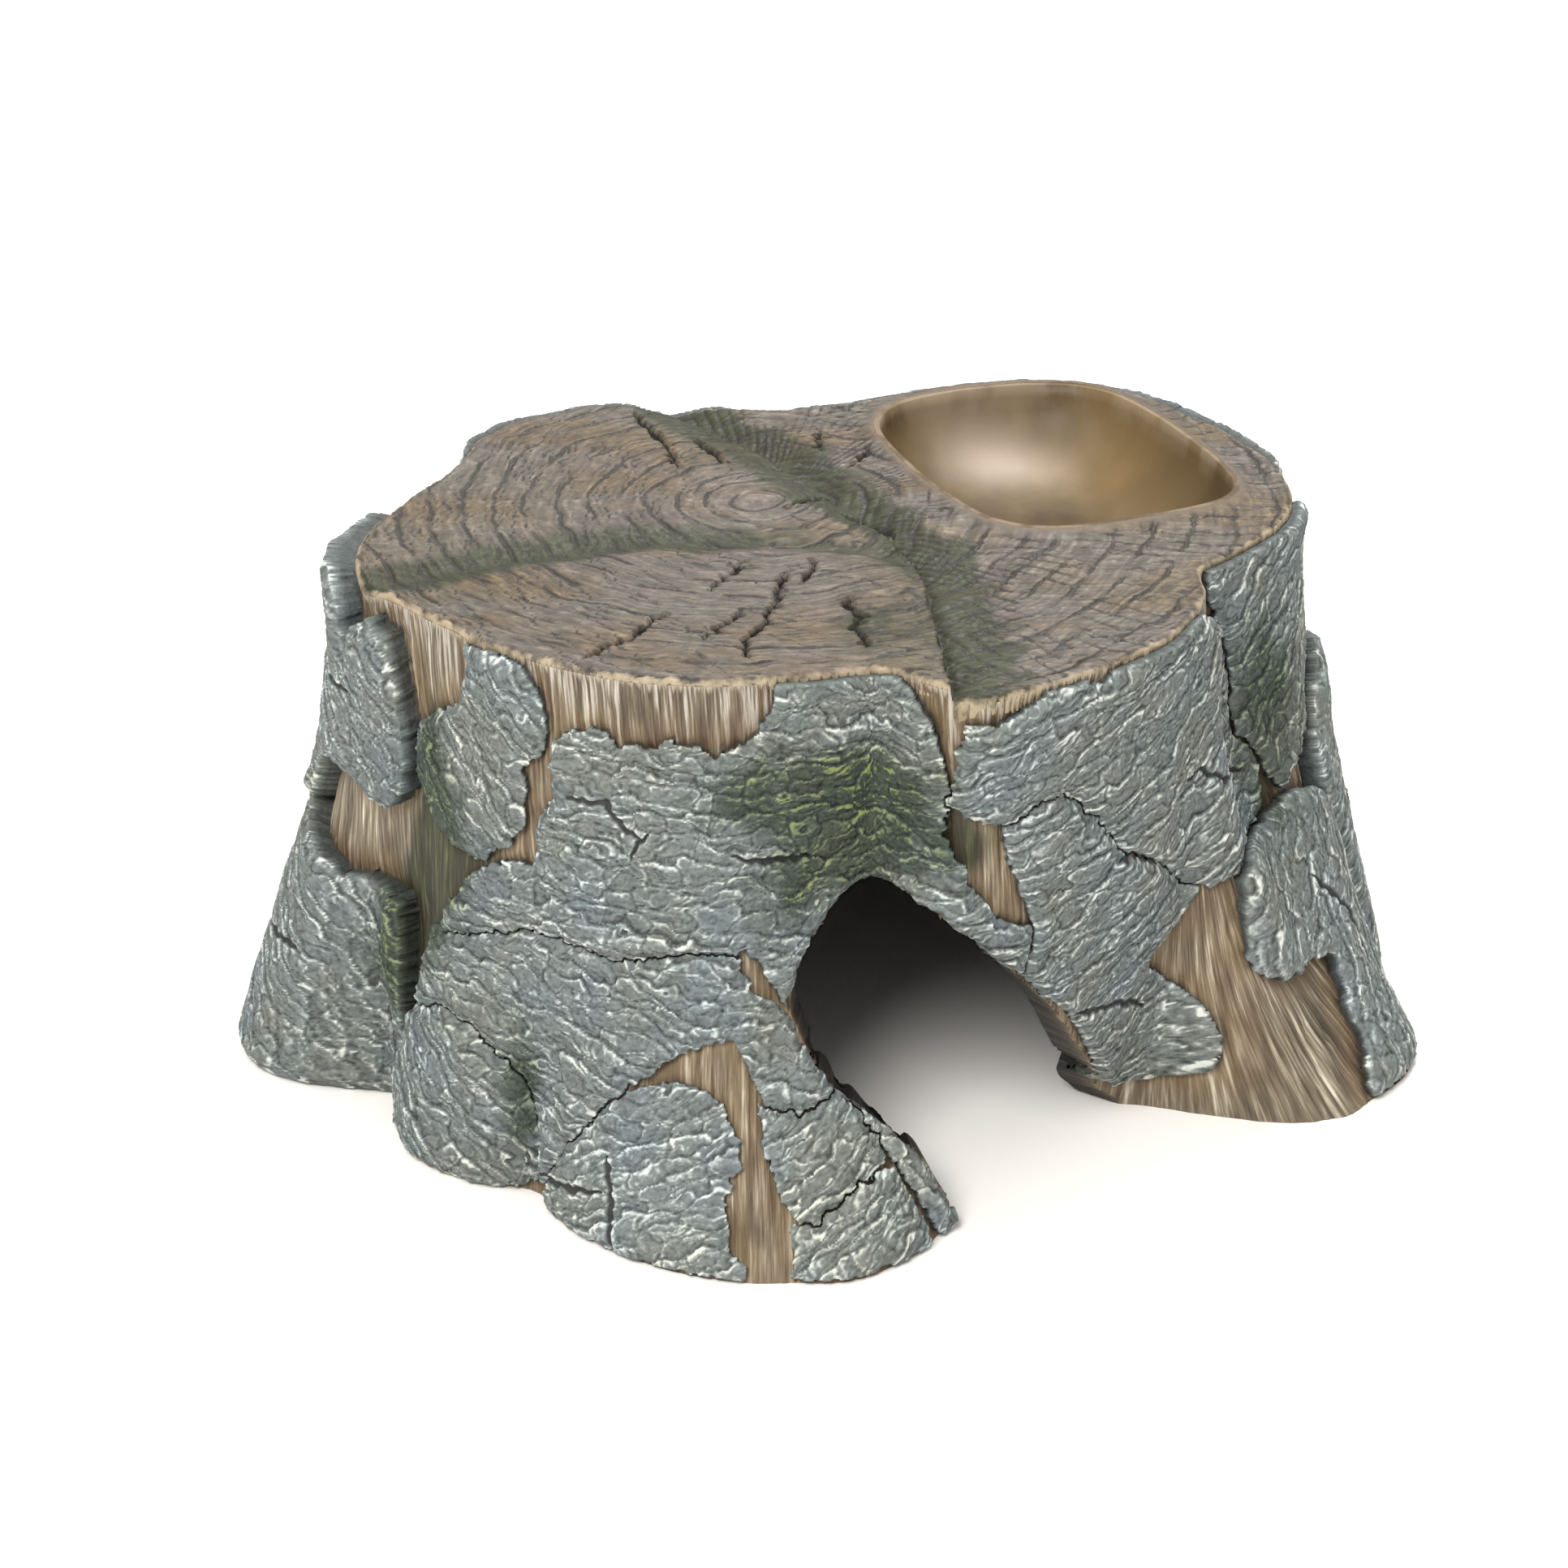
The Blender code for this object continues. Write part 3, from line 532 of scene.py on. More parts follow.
def bark_relief(u, v, angle, seed):
    """Height in mm of bark flakes that run along an angle on the wall, and the lines brushed on them."""
    c, s = math.cos(math.radians(angle)), math.sin(math.radians(angle))
    a, b = u * c + v * s, v * c - u * s
    wa = a + 3.2 * noise(a / 13, b / 7, 0, seed + 1) + 1.5 * noise(a / 4, b / 3, 0, seed + 2)
    wb = b + 2.4 * noise(a / 12, b / 8, 0, seed + 3) + 1.3 * noise(a / 4.5, b / 3, 0, seed + 4)
    wb = wb + 0.45 * noise(a / 1.5, b / 1.4, 0, seed + 11)
    _, _, oy, tall, _ = cells(wa / 22, wb / 10, seed + 10)
    layers = 0.40 * tall + 0.20 * oy
    gap, _, oy, tall, lean = cells(wa / 7.5, wb / 3.3, seed + 5)
    flakes = 0.30 * tall + 0.34 * oy * (0.35 + lean) - 0.22 * np.exp(-((gap / 0.10) ** 2))
    kept = smooth(0.45 + 1.6 * noise(u / 5, v / 5, 0, seed + 13))
    net = np.exp(-(((gap - 0.13) / 0.085) ** 2)) * smooth(0.7 + 2.5 * oy) * kept
    gap, _, oy, tall, _ = cells(wa / 3.4 + 31, wb / 1.6, seed + 6)
    small = 0.15 * tall + 0.16 * oy - 0.10 * np.exp(-((gap / 0.14) ** 2))
    kept = smooth(0.15 + 1.8 * noise(u / 3.5, v / 3.5, 0, seed + 14))
    net = np.maximum(net, 0.75 * np.exp(-(((gap - 0.16) / 0.13) ** 2)) * kept * (oy > 0))
    fibre = 1 - 2 * np.abs(noise(wa / 5, wb / 0.8, 0, seed + 7))
    rough = noise(u / 0.75, v / 0.7, 0, seed + 8)
    lumps = noise(u / 22, v / 18, 0, seed + 9)
    return layers + flakes + small + 0.13 * fibre + 0.12 * rough + 0.6 * lumps, net


def crack_distance(u, v, lines, seed, jitter=0.8):
    """Distance to the nearest of some jagged cracks, in their half widths, which taper."""
    ju = u + jitter * noise(u / 2.1, v / 2.1, 0, seed)
    jv = v + jitter * noise(u / 2.1, v / 2.1, 0, seed + 1)
    best = np.full(u.shape, 9.0)
    for line in lines:
        ends = np.minimum(
            np.hypot(u - line[0][0], v - line[0][1]), np.hypot(u - line[-1][0], v - line[-1][1])
        )
        best = np.minimum(best, line_distance(ju, jv, line)[0] / (0.22 + 0.3 * smooth(ends / 4)))
    return best


def trimmed(u, v, inward, step):
    """Grid points moved onto the line where inward is 0, the quads inside it, and the way in."""
    slope_v, slope_u = np.gradient(inward, step)
    steep = np.maximum(slope_u**2 + slope_v**2, 0.25)
    quads = grid_quads(*u.shape)
    quads = quads[(inward.ravel()[quads] > -0.6 * step).all(axis=1)]
    shift = np.where(inward < 0.3 * step, -inward, 0)
    steep_root = np.sqrt(steep)
    return (
        u + shift * slope_u / steep, v + shift * slope_v / steep, quads,
        slope_u / steep_root, slope_v / steep_root,
    )


def with_skirt(points, faces, values, rings, border_values, where=None, ease=(0, 0, 0)):
    """The mesh with bands of faces added below its border, through rings of points."""
    border = border_edges(faces)
    if where is not None:
        border = border[where[border].all(axis=1)]
    ids = np.unique(border)
    place = np.full(len(points), -1)
    place[ids] = np.arange(len(ids))
    all_points, all_faces, previous = [points], [faces], border
    shown = {key: [data] for key, data in values.items()}
    for number, ring_of in enumerate(rings):
        following = place[border] + len(points) + number * len(ids)
        made = ring_of(ids)
        ends = place[border]
        count = np.bincount(ends.ravel(), minlength=len(ids))[:, None]
        for _ in range(ease[number]):
            near = np.zeros_like(made)
            np.add.at(near, ends[:, 0], made[ends[:, 1]])
            np.add.at(near, ends[:, 1], made[ends[:, 0]])
            made = (made + near / count) / 2
        all_points.append(made)
        all_faces.append(
            np.stack([previous[:, 1], previous[:, 0], following[:, 0], following[:, 1]], axis=1)
        )
        previous = following
        for key in shown:
            fixed = border_values.get(key)
            fixed = fixed[number] if isinstance(fixed, tuple) else fixed
            shown[key].append(values[key][ids] if fixed is None else np.full(len(ids), fixed))
    return (
        np.concatenate(all_points), np.concatenate(all_faces),
        {key: np.concatenate(data) for key, data in shown.items()},
    )


def bark_plate(name, angle, seed, material):
    step = COARSE if name.startswith(REAR) else FINE
    loop = LOOPS[name]
    low, high = np.min(loop, axis=0) - 8, np.max(loop, axis=0) + 8
    u, v = np.meshgrid(np.arange(low[0], high[0], step), np.arange(low[1], high[1], step))
    surface = wall_point(u / ARC, v)
    along = np.linalg.norm(np.diff(surface, axis=1, prepend=surface[:, :1]), axis=2).cumsum(axis=1)
    up = np.linalg.norm(np.diff(surface, axis=0, prepend=surface[:1]), axis=2).cumsum(axis=0)
    middle = [n // 2 for n in u.shape]
    relief, net = bark_relief(
        along - along[:, middle[1]][:, None], up - up[middle[0]][None], angle, seed
    )
    lines = [[(a * ARC, z) for a, z in line] for line in BARK_CRACKS]
    crack = np.exp(-(crack_distance(u, v, lines, seed + 12) ** 2))
    relief -= 0.8 * crack

    # past the edge of the cave mouth the plate turns inwards, through the wall
    mouth = mouth_distance(u, v)
    slope_v, slope_u = np.gradient(mouth, step)
    steep = np.maximum(slope_u**2 + slope_v**2, 0.25)
    into = np.clip(mouth, 0, None)
    pin = into - 0.5 * relief * smooth(mouth / 1.5)
    pin = np.where(mouth > 0, pin, 0)
    pu, pv = u - pin * slope_u / steep, v - pin * slope_v / steep
    su, sv = wander(pu, pv)
    own = outline_distance(pu + su, pv + sv, loop)
    other = into_plates(pu + su, pv + sv, name)
    own = own + growth(name)
    rim = np.minimum(own, (own - other - CRACK) / 2)
    inward = np.minimum(np.minimum(rim, LIP - mouth), np.minimum(v - 0.4, top_of_wall(u / ARC) - v))
    u, v, quads, way_u, way_v = trimmed(u, v, inward, step)
    turned = mouth > 0
    u, v = np.where(turned, pu, u), np.where(turned, pv, v)
    v = np.clip(v, 0.3, HEIGHT - 0.4)

    fine = relief - blur(relief, 0.75 / step)
    broad = relief - blur(relief, 3.5 / step)
    depth = np.maximum(rim, 0)
    off = 1.3 + 1.5 * smooth(depth / 2.2) + 0.2 * np.exp(-(((depth - 0.7) / 0.5) ** 2))
    off = np.maximum(off + (relief - 0.5) * (0.5 + 0.5 * smooth(depth / 2)), 0.7)
    off += STAND_OFF.get(name, 0) * np.minimum(v / 40, 1)
    bend = 2.2
    over = np.clip(mouth + bend, 0, bend)
    off -= bend - np.sqrt(bend**2 - over**2) + into
    base, normal = wall_frame(u / ARC, v)
    points = base + normal * off[..., None]
    points[..., 2] = np.maximum(points[..., 2], 0.15)

    used, faces = compact(quads, u.size)
    edge = np.exp(-(((depth - 0.35) / 0.45) ** 2))
    low_front = smooth((38 - v) / 30) * np.exp(-((turn_from(u / ARC, 258) / 24) ** 4))
    brush = 0.62 * np.clip(fine / (2.2 * fine.std()), -1, 1) + 0.62 * net - 1.2 * crack
    brush = brush + 0.16 * low_front
    values = {
        "brush": (brush * (1 - 0.4 * edge) + 0.62 * edge * (0.35 + net)).ravel()[used],
        "height": np.clip(broad / 1.2, -1, 1).ravel()[used],
        "moss": moss_on_wall(u / ARC, v).ravel()[used],
        # inside: painted shade, the plate darkens to near black where it turns into the cave
        "inside": smooth((mouth - 0.6) / 4.5).ravel()[used],
    }

    def ring_at(share, inset):
        def at(ids):
            flat = used[ids]
            iu = u.ravel()[flat] + inset * way_u.ravel()[flat]
            iv = np.clip(v.ravel()[flat] + inset * way_v.ravel()[flat], 0.2, HEIGHT - 0.4)
            under, out = wall_frame(iu / ARC, iv)
            lift = off.ravel()[flat]
            lift = np.where(lift > 0, lift * max(share, 0), lift) + min(share, 0)
            return under + out * lift[:, None]

        return at

    # the skirt's brush of -0.45 paints the plate's edge dark grey: painted shade under the edge
    points, faces, values = with_skirt(
        points.reshape(-1, 3)[used], faces, values, (ring_at(0.5, 0.1), ring_at(-1.0, 0.8)),
        {"brush": -0.45},
    )
    return piece("look_" + name, points, faces, [name], [material], values)


# ---------- wood ----------


def mouth_distance(u, v):
    """Distance into the cave mouth, negative on the wall."""
    su, sv = wander(u, v)
    return outline_distance(u + 0.4 * su, v + 0.4 * sv, MOUTH_LOOP)


def split_floor(x, y):
    return STEP * (1 - ((x - 5) * 0.93 + y * 0.37) / 80)


def split_side(x, y):
    """Distance past the split, positive on the right-hand slab, and how near its front end."""
    wx = x + 1.0 * noise(x / 10, y / 10, 0, 32) + 0.3 * noise(x / 2, y / 2, 0, 31)
    wy = y + 1.0 * noise(x / 10, y / 10, 0, 33)
    away, side = line_distance(wx, wy, SPLIT)
    return away * np.where(side > 0, 1, -1), smooth((10 - y) / 16)


def slow_top(x, y):
    """The top's broad shape: the step and the valley of the split, the fold and the lumps."""
    split, front = split_side(x, y)
    fold, _ = line_distance(x + noise(x / 9, y / 9, 0, 36), y, FOLD)
    height = -np.maximum(split_floor(x, y), 0) * smooth((split + 0.3) / 0.6) * (0.3 + 0.7 * front)
    height -= (2.4 * (1 - front) + 0.5 * front) * np.exp(-((split / 5.0) ** 2))
    height -= 0.9 * front * np.exp(-((np.maximum(split, 0) / 2.0) ** 2)) * (split > 0)
    height -= 1.6 * np.exp(-((fold / 4.5) ** 2)) * smooth((1 - split) / 2)
    knots = np.exp(-(((x + 62) / 15) ** 2 + ((y - 46) / 14) ** 2))
    height += knots * (0.5 + 1.3 * noise(x / 7, y / 7, 0, 35))
    return height + 0.6 * noise(x / 26, y / 26, 0, 34) + 0.3 * noise(x / 9, y / 9, 0, 37) - 0.2


def dish_share(x, y):
    """0 at the middle of the dish, 1 on its outline."""
    points = np.array(DISH, float)
    centre = points.mean(axis=0)
    loop = []
    for i in range(len(points)):
        p0, p1, p2, p3 = (points[(i + k) % len(points)] for k in (-1, 0, 1, 2))
        for t in np.linspace(0, 1, 8, endpoint=False):
            loop.append(
                0.5 * (2 * p1 + (p2 - p0) * t + (2 * p0 - 5 * p1 + 4 * p2 - p3) * t**2
                       + (3 * p1 - p0 - 3 * p2 + p3) * t**3)
            )
    loop = np.array(loop) - centre
    angle = np.arctan2(loop[:, 1], loop[:, 0])
    order = np.argsort(angle)
    reach = np.hypot(loop[:, 0], loop[:, 1])[order]
    turn = np.arctan2(y - centre[1], x - centre[0])
    outline = np.interp(turn, angle[order], reach, period=2 * np.pi)
    return np.hypot(x - centre[0], y - centre[1]) / outline, outline, centre


def bowl(share):
    """Depth of the dish as a share of its greatest: 1 in the middle, 0 on the outline and past it."""
    return np.clip(1 - np.clip(share, 0, 1) ** 2.6, 0, 1) ** (1 / 2.2)


def around_dish(x, y, share):
    """The top's height near the dish, which has a smooth lip."""
    calm = smooth((share - 1.02) / 0.2)
    return slow_top(x, y) * (0.35 + 0.65 * calm) + 0.35 * np.exp(-(((share - 1.05) / 0.05) ** 2))


def rim_at(azimuth):
    """Radius of the wall's top edge, and the edge's lean away from square to the radius."""
    turn = np.arange(0, 360, 0.25)
    edge = wall_frame(turn, np.full(turn.shape, HEIGHT - 1.2))[0]
    reach = np.hypot(edge[:, 0], edge[:, 1])
    lean = np.gradient(reach, math.radians(0.25)) / reach
    radius = np.interp(azimuth, turn, reach, period=360)
    return radius, 1 / np.hypot(1, np.interp(azimuth, turn, lean, period=360))


def top_of_wall(azimuth):
    """Height at which the wall meets the rounded rim of the top."""
    reach, turn = rim_at(azimuth)[0], np.radians(azimuth)
    return HEIGHT - 0.9 + np.minimum(slow_top(reach * np.cos(turn), reach * np.sin(turn)), 0.2)


def wood_wall(material):
    azimuth, share = np.meshgrid(np.arange(COLUMNS) * 360 / COLUMNS, np.linspace(0, 1, 140) ** 0.9)
    turn = np.radians(azimuth[0])
    reach = rim_at(azimuth[0])[0]
    ceiling = HEIGHT - 1.3 + slow_top(reach * np.cos(turn), reach * np.sin(turn))
    z = share * ceiling
    u = azimuth * ARC
    su, sv = wander(u, z)
    bark = into_plates(u + su, z + sv, reach=12.0)
    hole = mouth_distance(u, z)
    cut = hole + BARK_ROOM * smooth(bark / 2.5 + 0.2)
    slope_v = np.gradient(cut, axis=0) / np.gradient(z, axis=0)
    slope_u = np.gradient(cut, axis=1) / (ARC * 360 / COLUMNS)
    steep = np.maximum(slope_v**2 + slope_u**2, 0.3)
    edge = (cut > -0.5) & (cut < 1.0)
    u = np.where(edge, u - cut * slope_u / steep, u)
    z = np.where(edge, np.clip(z - cut * slope_v / steep, 0, HEIGHT), z)
    quads = grid_quads(*z.shape, closed=True)
    # wood is left out deep under the bark, except along the mouth, where its cut side is seen
    shown = (bark.ravel() < 2.0) | (cut.ravel() > -MOUTH_BAND)
    quads = quads[(cut.ravel()[quads] < 0.7).all(axis=1) & shown[quads].any(axis=1)]
    base, normal = wall_frame(u / ARC, z)
    x, y = base[..., 0], base[..., 1]
    belt = wall_point(np.arange(0, 361, 0.25), 24.0)
    belt = np.linalg.norm(np.diff(belt, axis=0, prepend=belt[:1]), axis=1).cumsum()
    across = np.interp(u / ARC, np.arange(0, 361, 0.25), belt) + 0.08 * z
    grain = noise(across / 1.1, z / 22, 0, 21) + 0.6 * noise(across / 0.6, z / 12, 0, 22)
    broad = noise(x / 5, y / 5, z / 50, 23)
    gouge = np.clip(noise(x / 2.2, y / 2.2, z / 9, 24) - 0.25, 0, 1)
    off = (0.20 * grain + 0.5 * broad - 0.8 * gouge) * smooth((ceiling - z) / 3)
    off -= 0.35 * np.exp(-((bark / 1.0) ** 2))
    points = base + normal * off[..., None]
    points[..., 2] = np.clip(points[..., 2], 0, HEIGHT)
    used, faces = compact(quads, z.size)
    values = {
        "grain": grain.ravel()[used], "across": across.ravel()[used], "down": z.ravel()[used],
        "bark_gap": (-bark).ravel()[used],
        "rim_gap": (ceiling - z).ravel()[used],
        "moss": moss_on_wall(u / ARC, z).ravel()[used],
        "inside": np.zeros(len(used)),
    }
    points = points.reshape(-1, 3)[used]

    def ring_at(depth):
        def at(ids):
            inner = points[ids].copy()
            reach = np.hypot(inner[:, 0], inner[:, 1])
            inner[:, :2] *= ((reach - depth) / reach)[:, None]
            return inner

        return at

    # the skirt that turns into the cave at the mouth is painted near black: painted shade
    points, faces, values = with_skirt(
        points, faces, values, (ring_at(1.5), ring_at(4.0), ring_at(9.0)), {"inside": (0.6, 0.9, 1.0)},
        (hole.ravel()[used] > -3.5) & (points[:, 2] > 0.01), ease=(2, 12, 40),
    )
    return piece("look_wood_wall", points, faces, ["wood_body"], [material], values)


def top_face(material):
    x, y = np.meshgrid(np.arange(-103, 106, TOP_STEP), np.arange(-82, 103, TOP_STEP))
    radius, square = rim_at(np.degrees(np.arctan2(y, x)))
    rim = (radius - np.hypot(x, y)) * square
    share, outline, _ = dish_share(x, y)
    inward = np.minimum(rim, (share - 1.03) * outline)
    x, y, quads, way_x, way_y = trimmed(x, y, inward, TOP_STEP)
    radius, square = rim_at(np.degrees(np.arctan2(y, x)))
    rim = np.maximum((radius - np.hypot(x, y)) * square, 0)
    share = dish_share(x, y)[0]
    split, front = split_side(x, y)
    right = split > 0
    fold, fold_side = line_distance(x, y, FOLD)
    front_slab = ~right & (fold_side < 0)

    px, py = x - PITH[0], y - PITH[1]
    away, turn = np.hypot(px, py), np.arctan2(py, px)
    away = away + 2.0 * noise(x / 18, y / 18, 0, 51) + 0.8 * noise(x / 5, y / 5, 0, 52)
    away = away + 0.25 * noise(x / 1.2, y / 1.2, 0, 53)
    phase = np.interp(away, RING_RADII, np.arange(len(RING_RADII)))
    spacing = np.interp(away, RING_RADII, np.gradient(np.array(RING_RADII, float)))
    patchy = noise(x / 9, y / 9, 0, 54)
    ring_line = np.exp(-((from_whole(phase) * spacing / 0.42) ** 2))
    ring_line *= smooth(0.75 + 1.1 * patchy - 0.25 * front_slab)
    minor = away / (1.7 + 0.5 * right) + 1.1 * noise(x / 14, y / 14, 0, 55)
    minor_line = np.exp(-((from_whole(minor) * 2.0 / 0.42) ** 2))
    minor_line *= smooth(0.25 - 0.2 * right + 1.5 * noise(x / 6, y / 5, 0, 56) + 0.35 * front_slab)
    row = np.floor(phase).astype(np.int64)
    pieces = turn * away / (4.6 - 1.2 * right) + 7 * _random[row & 255, 0]
    pieces = pieces + 0.5 * noise(x / 3, y / 3, 0, 57)
    kept = _random[_hash(row, np.floor(pieces + 0.5).astype(np.int64), np.int64(3)), 1]
    tick = np.exp(-((from_whole(pieces) * 4.0 / 0.36) ** 2))
    tick *= (kept > np.where(right, 0.6, 0.5)) * smooth((away - 5) / 6)
    spoke = np.degrees(turn) / 2.7 + 0.4 * noise(x / 16, y / 16, 0, 58)
    spoke_line = np.exp(-((from_whole(spoke) * away * 0.047 / 0.30) ** 2))
    spoke_line *= right * smooth(0.55 + 1.3 * noise(x / 11, y / 11, 0, 59)) * smooth((away - 18) / 9)
    arc = turn * away
    fibre = noise(arc / 9, away / 1.1, 0, 60) + 0.6 * noise(arc / 5, away / 0.6, 0, 61)
    across = noise(arc / 1.0, away / 9, 0, 62) + 0.5 * noise(arc / 0.6, away / 5, 0, 63)
    fibre = fibre + np.where(right, 0.9, 0.25) * across
    crack = crack_distance(x, y, TOP_CRACKS, 64, 1.3)

    calm = smooth((share - 1.04) / 0.10)
    grooves = 0.45 * ring_line + 0.22 * minor_line + 0.28 * tick + 0.4 * spoke_line
    fine = 0.13 * fibre - grooves - 2.0 * np.exp(-((crack / 1.1) ** 2))
    height = around_dish(x, y, share) + fine * calm
    chips = np.clip(noise(x / 2.4, y / 2.4, 0, 45) + 0.4 * noise(x / 1.1, y / 1.1, 0, 46), 0, 1)
    round_off = 1 - np.sqrt(np.clip(1 - np.clip(1 - rim / 0.9, 0, 1) ** 2, 0, 1))
    height -= round_off * 0.9 + np.exp(-rim / 1.0) * 0.9 * chips
    height += 0.3 * np.exp(-(((rim - 1.8) / 0.9) ** 2))
    z = np.minimum(HEIGHT + height, HEIGHT + 0.9)

    used, faces = compact(quads, x.size)
    wet = noise(x / 8, y / 8, 0, 66)
    along_split = np.exp(-((split / (8.5 - 4 * front + 3 * wet)) ** 2))
    moss = (
        (1 - 0.15 * front) * along_split * (1 - 0.7 * front * (split < 0))
        + front * right * smooth((20 + 6 * wet - split) / 14)
        + 1.0 * np.exp(-(((fold + 1) / 7) ** 2)) * ~right * (0.45 + 0.55 * smooth((-x - 5) / 45))
        + 0.5 * np.exp(-(((x - 8) / 9) ** 2 + ((y + 47) / 13) ** 2)) * ~right
    )
    values = {
        "line": np.clip(ring_line + 0.55 * minor_line + 0.75 * tick + 0.9 * spoke_line, 0, 1) * calm,
        "fibre": fibre * calm, "crack": crack, "moss": np.clip(moss, 0, 1), "rim_gap": rim,
        "away": away, "dish_gap": share - 1.03,
        "gold": (
            np.exp(-(((x + 70) / 16) ** 2 + ((y + 26) / 6) ** 2)) + front_slab * smooth((x + 10) / 30)
        ),
    }
    values = {key: data.ravel()[used] for key, data in values.items()}
    points = np.stack([x, y, z], axis=-1).reshape(-1, 3)[used]

    def ring_at(depth, inset):
        def at(ids):
            lower = points[ids].copy()
            lower[:, 0] += inset * way_x.ravel()[used][ids]
            lower[:, 1] += inset * way_y.ravel()[used][ids]
            lower[:, 2] -= depth
            return lower

        return at

    points, faces, values = with_skirt(
        points, faces, values, (ring_at(1.0, 0.3), ring_at(3.0, 0.6)), {}
    )
    return piece("look_top", points, faces, [], [material], values)


def dish(material):
    turn = np.arange(DISH_POINTS) * math.tau / DISH_POINTS
    shares = np.concatenate([[1.035], np.linspace(1.02, 0.97, 9), np.linspace(0.96, 0.02, 62)])
    middle = np.mean(np.array(DISH, float), axis=0)
    _, outline, _ = dish_share(middle[0] + np.cos(turn), middle[1] + np.sin(turn))
    x = middle[0] + shares[:, None] * outline * np.cos(turn)
    y = middle[1] + shares[:, None] * outline * np.sin(turn)
    share = np.broadcast_to(shares[:, None], x.shape)
    within = bowl(share)
    level = around_dish(x, y, np.maximum(share, 1.03))
    z = HEIGHT + level * np.clip((share - 0.9) / 0.13, 0, 1) - DISH_DEPTH * within
    z += 0.22 * noise(x / 11, y / 11, 0, 44) * within
    points = np.stack([x, y, z], axis=-1).reshape(-1, 3)
    points = np.concatenate([points, [[*middle, z[-1].mean()]]])
    quads = grid_quads(*x.shape, closed=True)
    last = (len(shares) - 1) * DISH_POINTS
    hub = np.arange(0, DISH_POINTS, 2) + last
    after = (hub - last + 2) % DISH_POINTS + last
    fan = np.stack([np.full(len(hub), len(points) - 1), hub, hub + 1, after], axis=1)
    faces = np.concatenate([quads, fan])
    values = {
        "share": np.append(share, 0.0),
        "smear": np.append(noise(x / 5, y / 16, 0, 48), 0.0),
        "warm": np.append(smooth((x - 46) / 20) * smooth((y - 30) / 14), 0.0),
        # low: painted shade, darker on the near side of the dish
        "low": np.append(smooth((60 - y) / 10), 1.0),
        # pale: a painted highlight on the dish's back wall
        "pale": np.append(np.exp(-(((x - 36) / 13) ** 2) - ((y - 68) / 7) ** 2), 0.0),
    }
    return piece("look_dish", points, faces, [], [material], values)


def cave_lining(material):
    """The underside of the wall, the inside of the cave and the bulge under the dish."""
    count = LINING_POINTS
    levels = np.concatenate([[0, 0], np.linspace(0.6, CEILING - 6, 90), [CEILING - 3, CEILING - 1]])
    azimuth, z = np.meshgrid(np.arange(count) * 360 / count, levels)
    cut = mouth_distance(azimuth * ARC, z) + 1.6
    slope_v = np.gradient(cut, axis=0) / np.maximum(np.gradient(z, axis=0), 0.3)
    slope_u = np.gradient(cut, axis=1) / (ARC * 360 / count)
    steep = np.maximum(slope_v**2 + slope_u**2, 0.3)
    edge = (cut > -1.2) & (cut < 1.6) & (z > 0)
    azimuth = np.where(edge, azimuth - cut * slope_u / steep / ARC, azimuth)
    z = np.where(edge, np.clip(z - cut * slope_v / steep, 0, CEILING), z)
    outer = wall_radius(azimuth, z)
    inner = np.minimum(outer - WALL, CAVE_REACH) - 6 * smooth((z - CEILING + 8) / 7) ** 2
    inner = inner + 0.5 * noise(azimuth / 7, z / 9, 0, 51)
    inner[0] = outer[0] - 0.3
    ceiling = np.linspace(0.95, 0.04, 30)[:, None] * inner[-1]
    r = np.concatenate([inner, ceiling])
    z = np.concatenate([z, np.full(ceiling.shape, CEILING)])
    turn = np.radians(np.concatenate([azimuth, np.repeat(azimuth[-1:], 30, axis=0)]))
    x, y = r * np.cos(turn), r * np.sin(turn)
    bulge = dish_share(x, y)[0] / (1 + DISH_WALL / 38)
    z = np.minimum(z, HEIGHT - (DISH_DEPTH + DISH_WALL) * bowl(bulge))
    z = z + np.where(z > CEILING - 8, 0.5 * noise(x / 12, y / 12, 0, 52), 0)
    points = np.stack([x, y, z], axis=-1).reshape(-1, 3)
    points = np.concatenate([points, [[0, 0, CEILING]]])
    quads = grid_quads(*r.shape, closed=True)
    kept = np.concatenate([cut.ravel(), np.full(ceiling.size, -9.0)])
    quads = quads[(kept[quads] < 0.8).all(axis=1)]
    base = (len(r) - 1) * count
    hub = np.arange(0, count, 2) + base
    fan = np.stack(
        [np.full(count // 2, len(points) - 1), (hub - base + 2) % count + base, hub + 1, hub], axis=1
    )
    faces = np.concatenate([quads[:, ::-1], fan])
    return piece("look_cave_lining", points, faces, [], [material], {})


# ---------- materials ----------


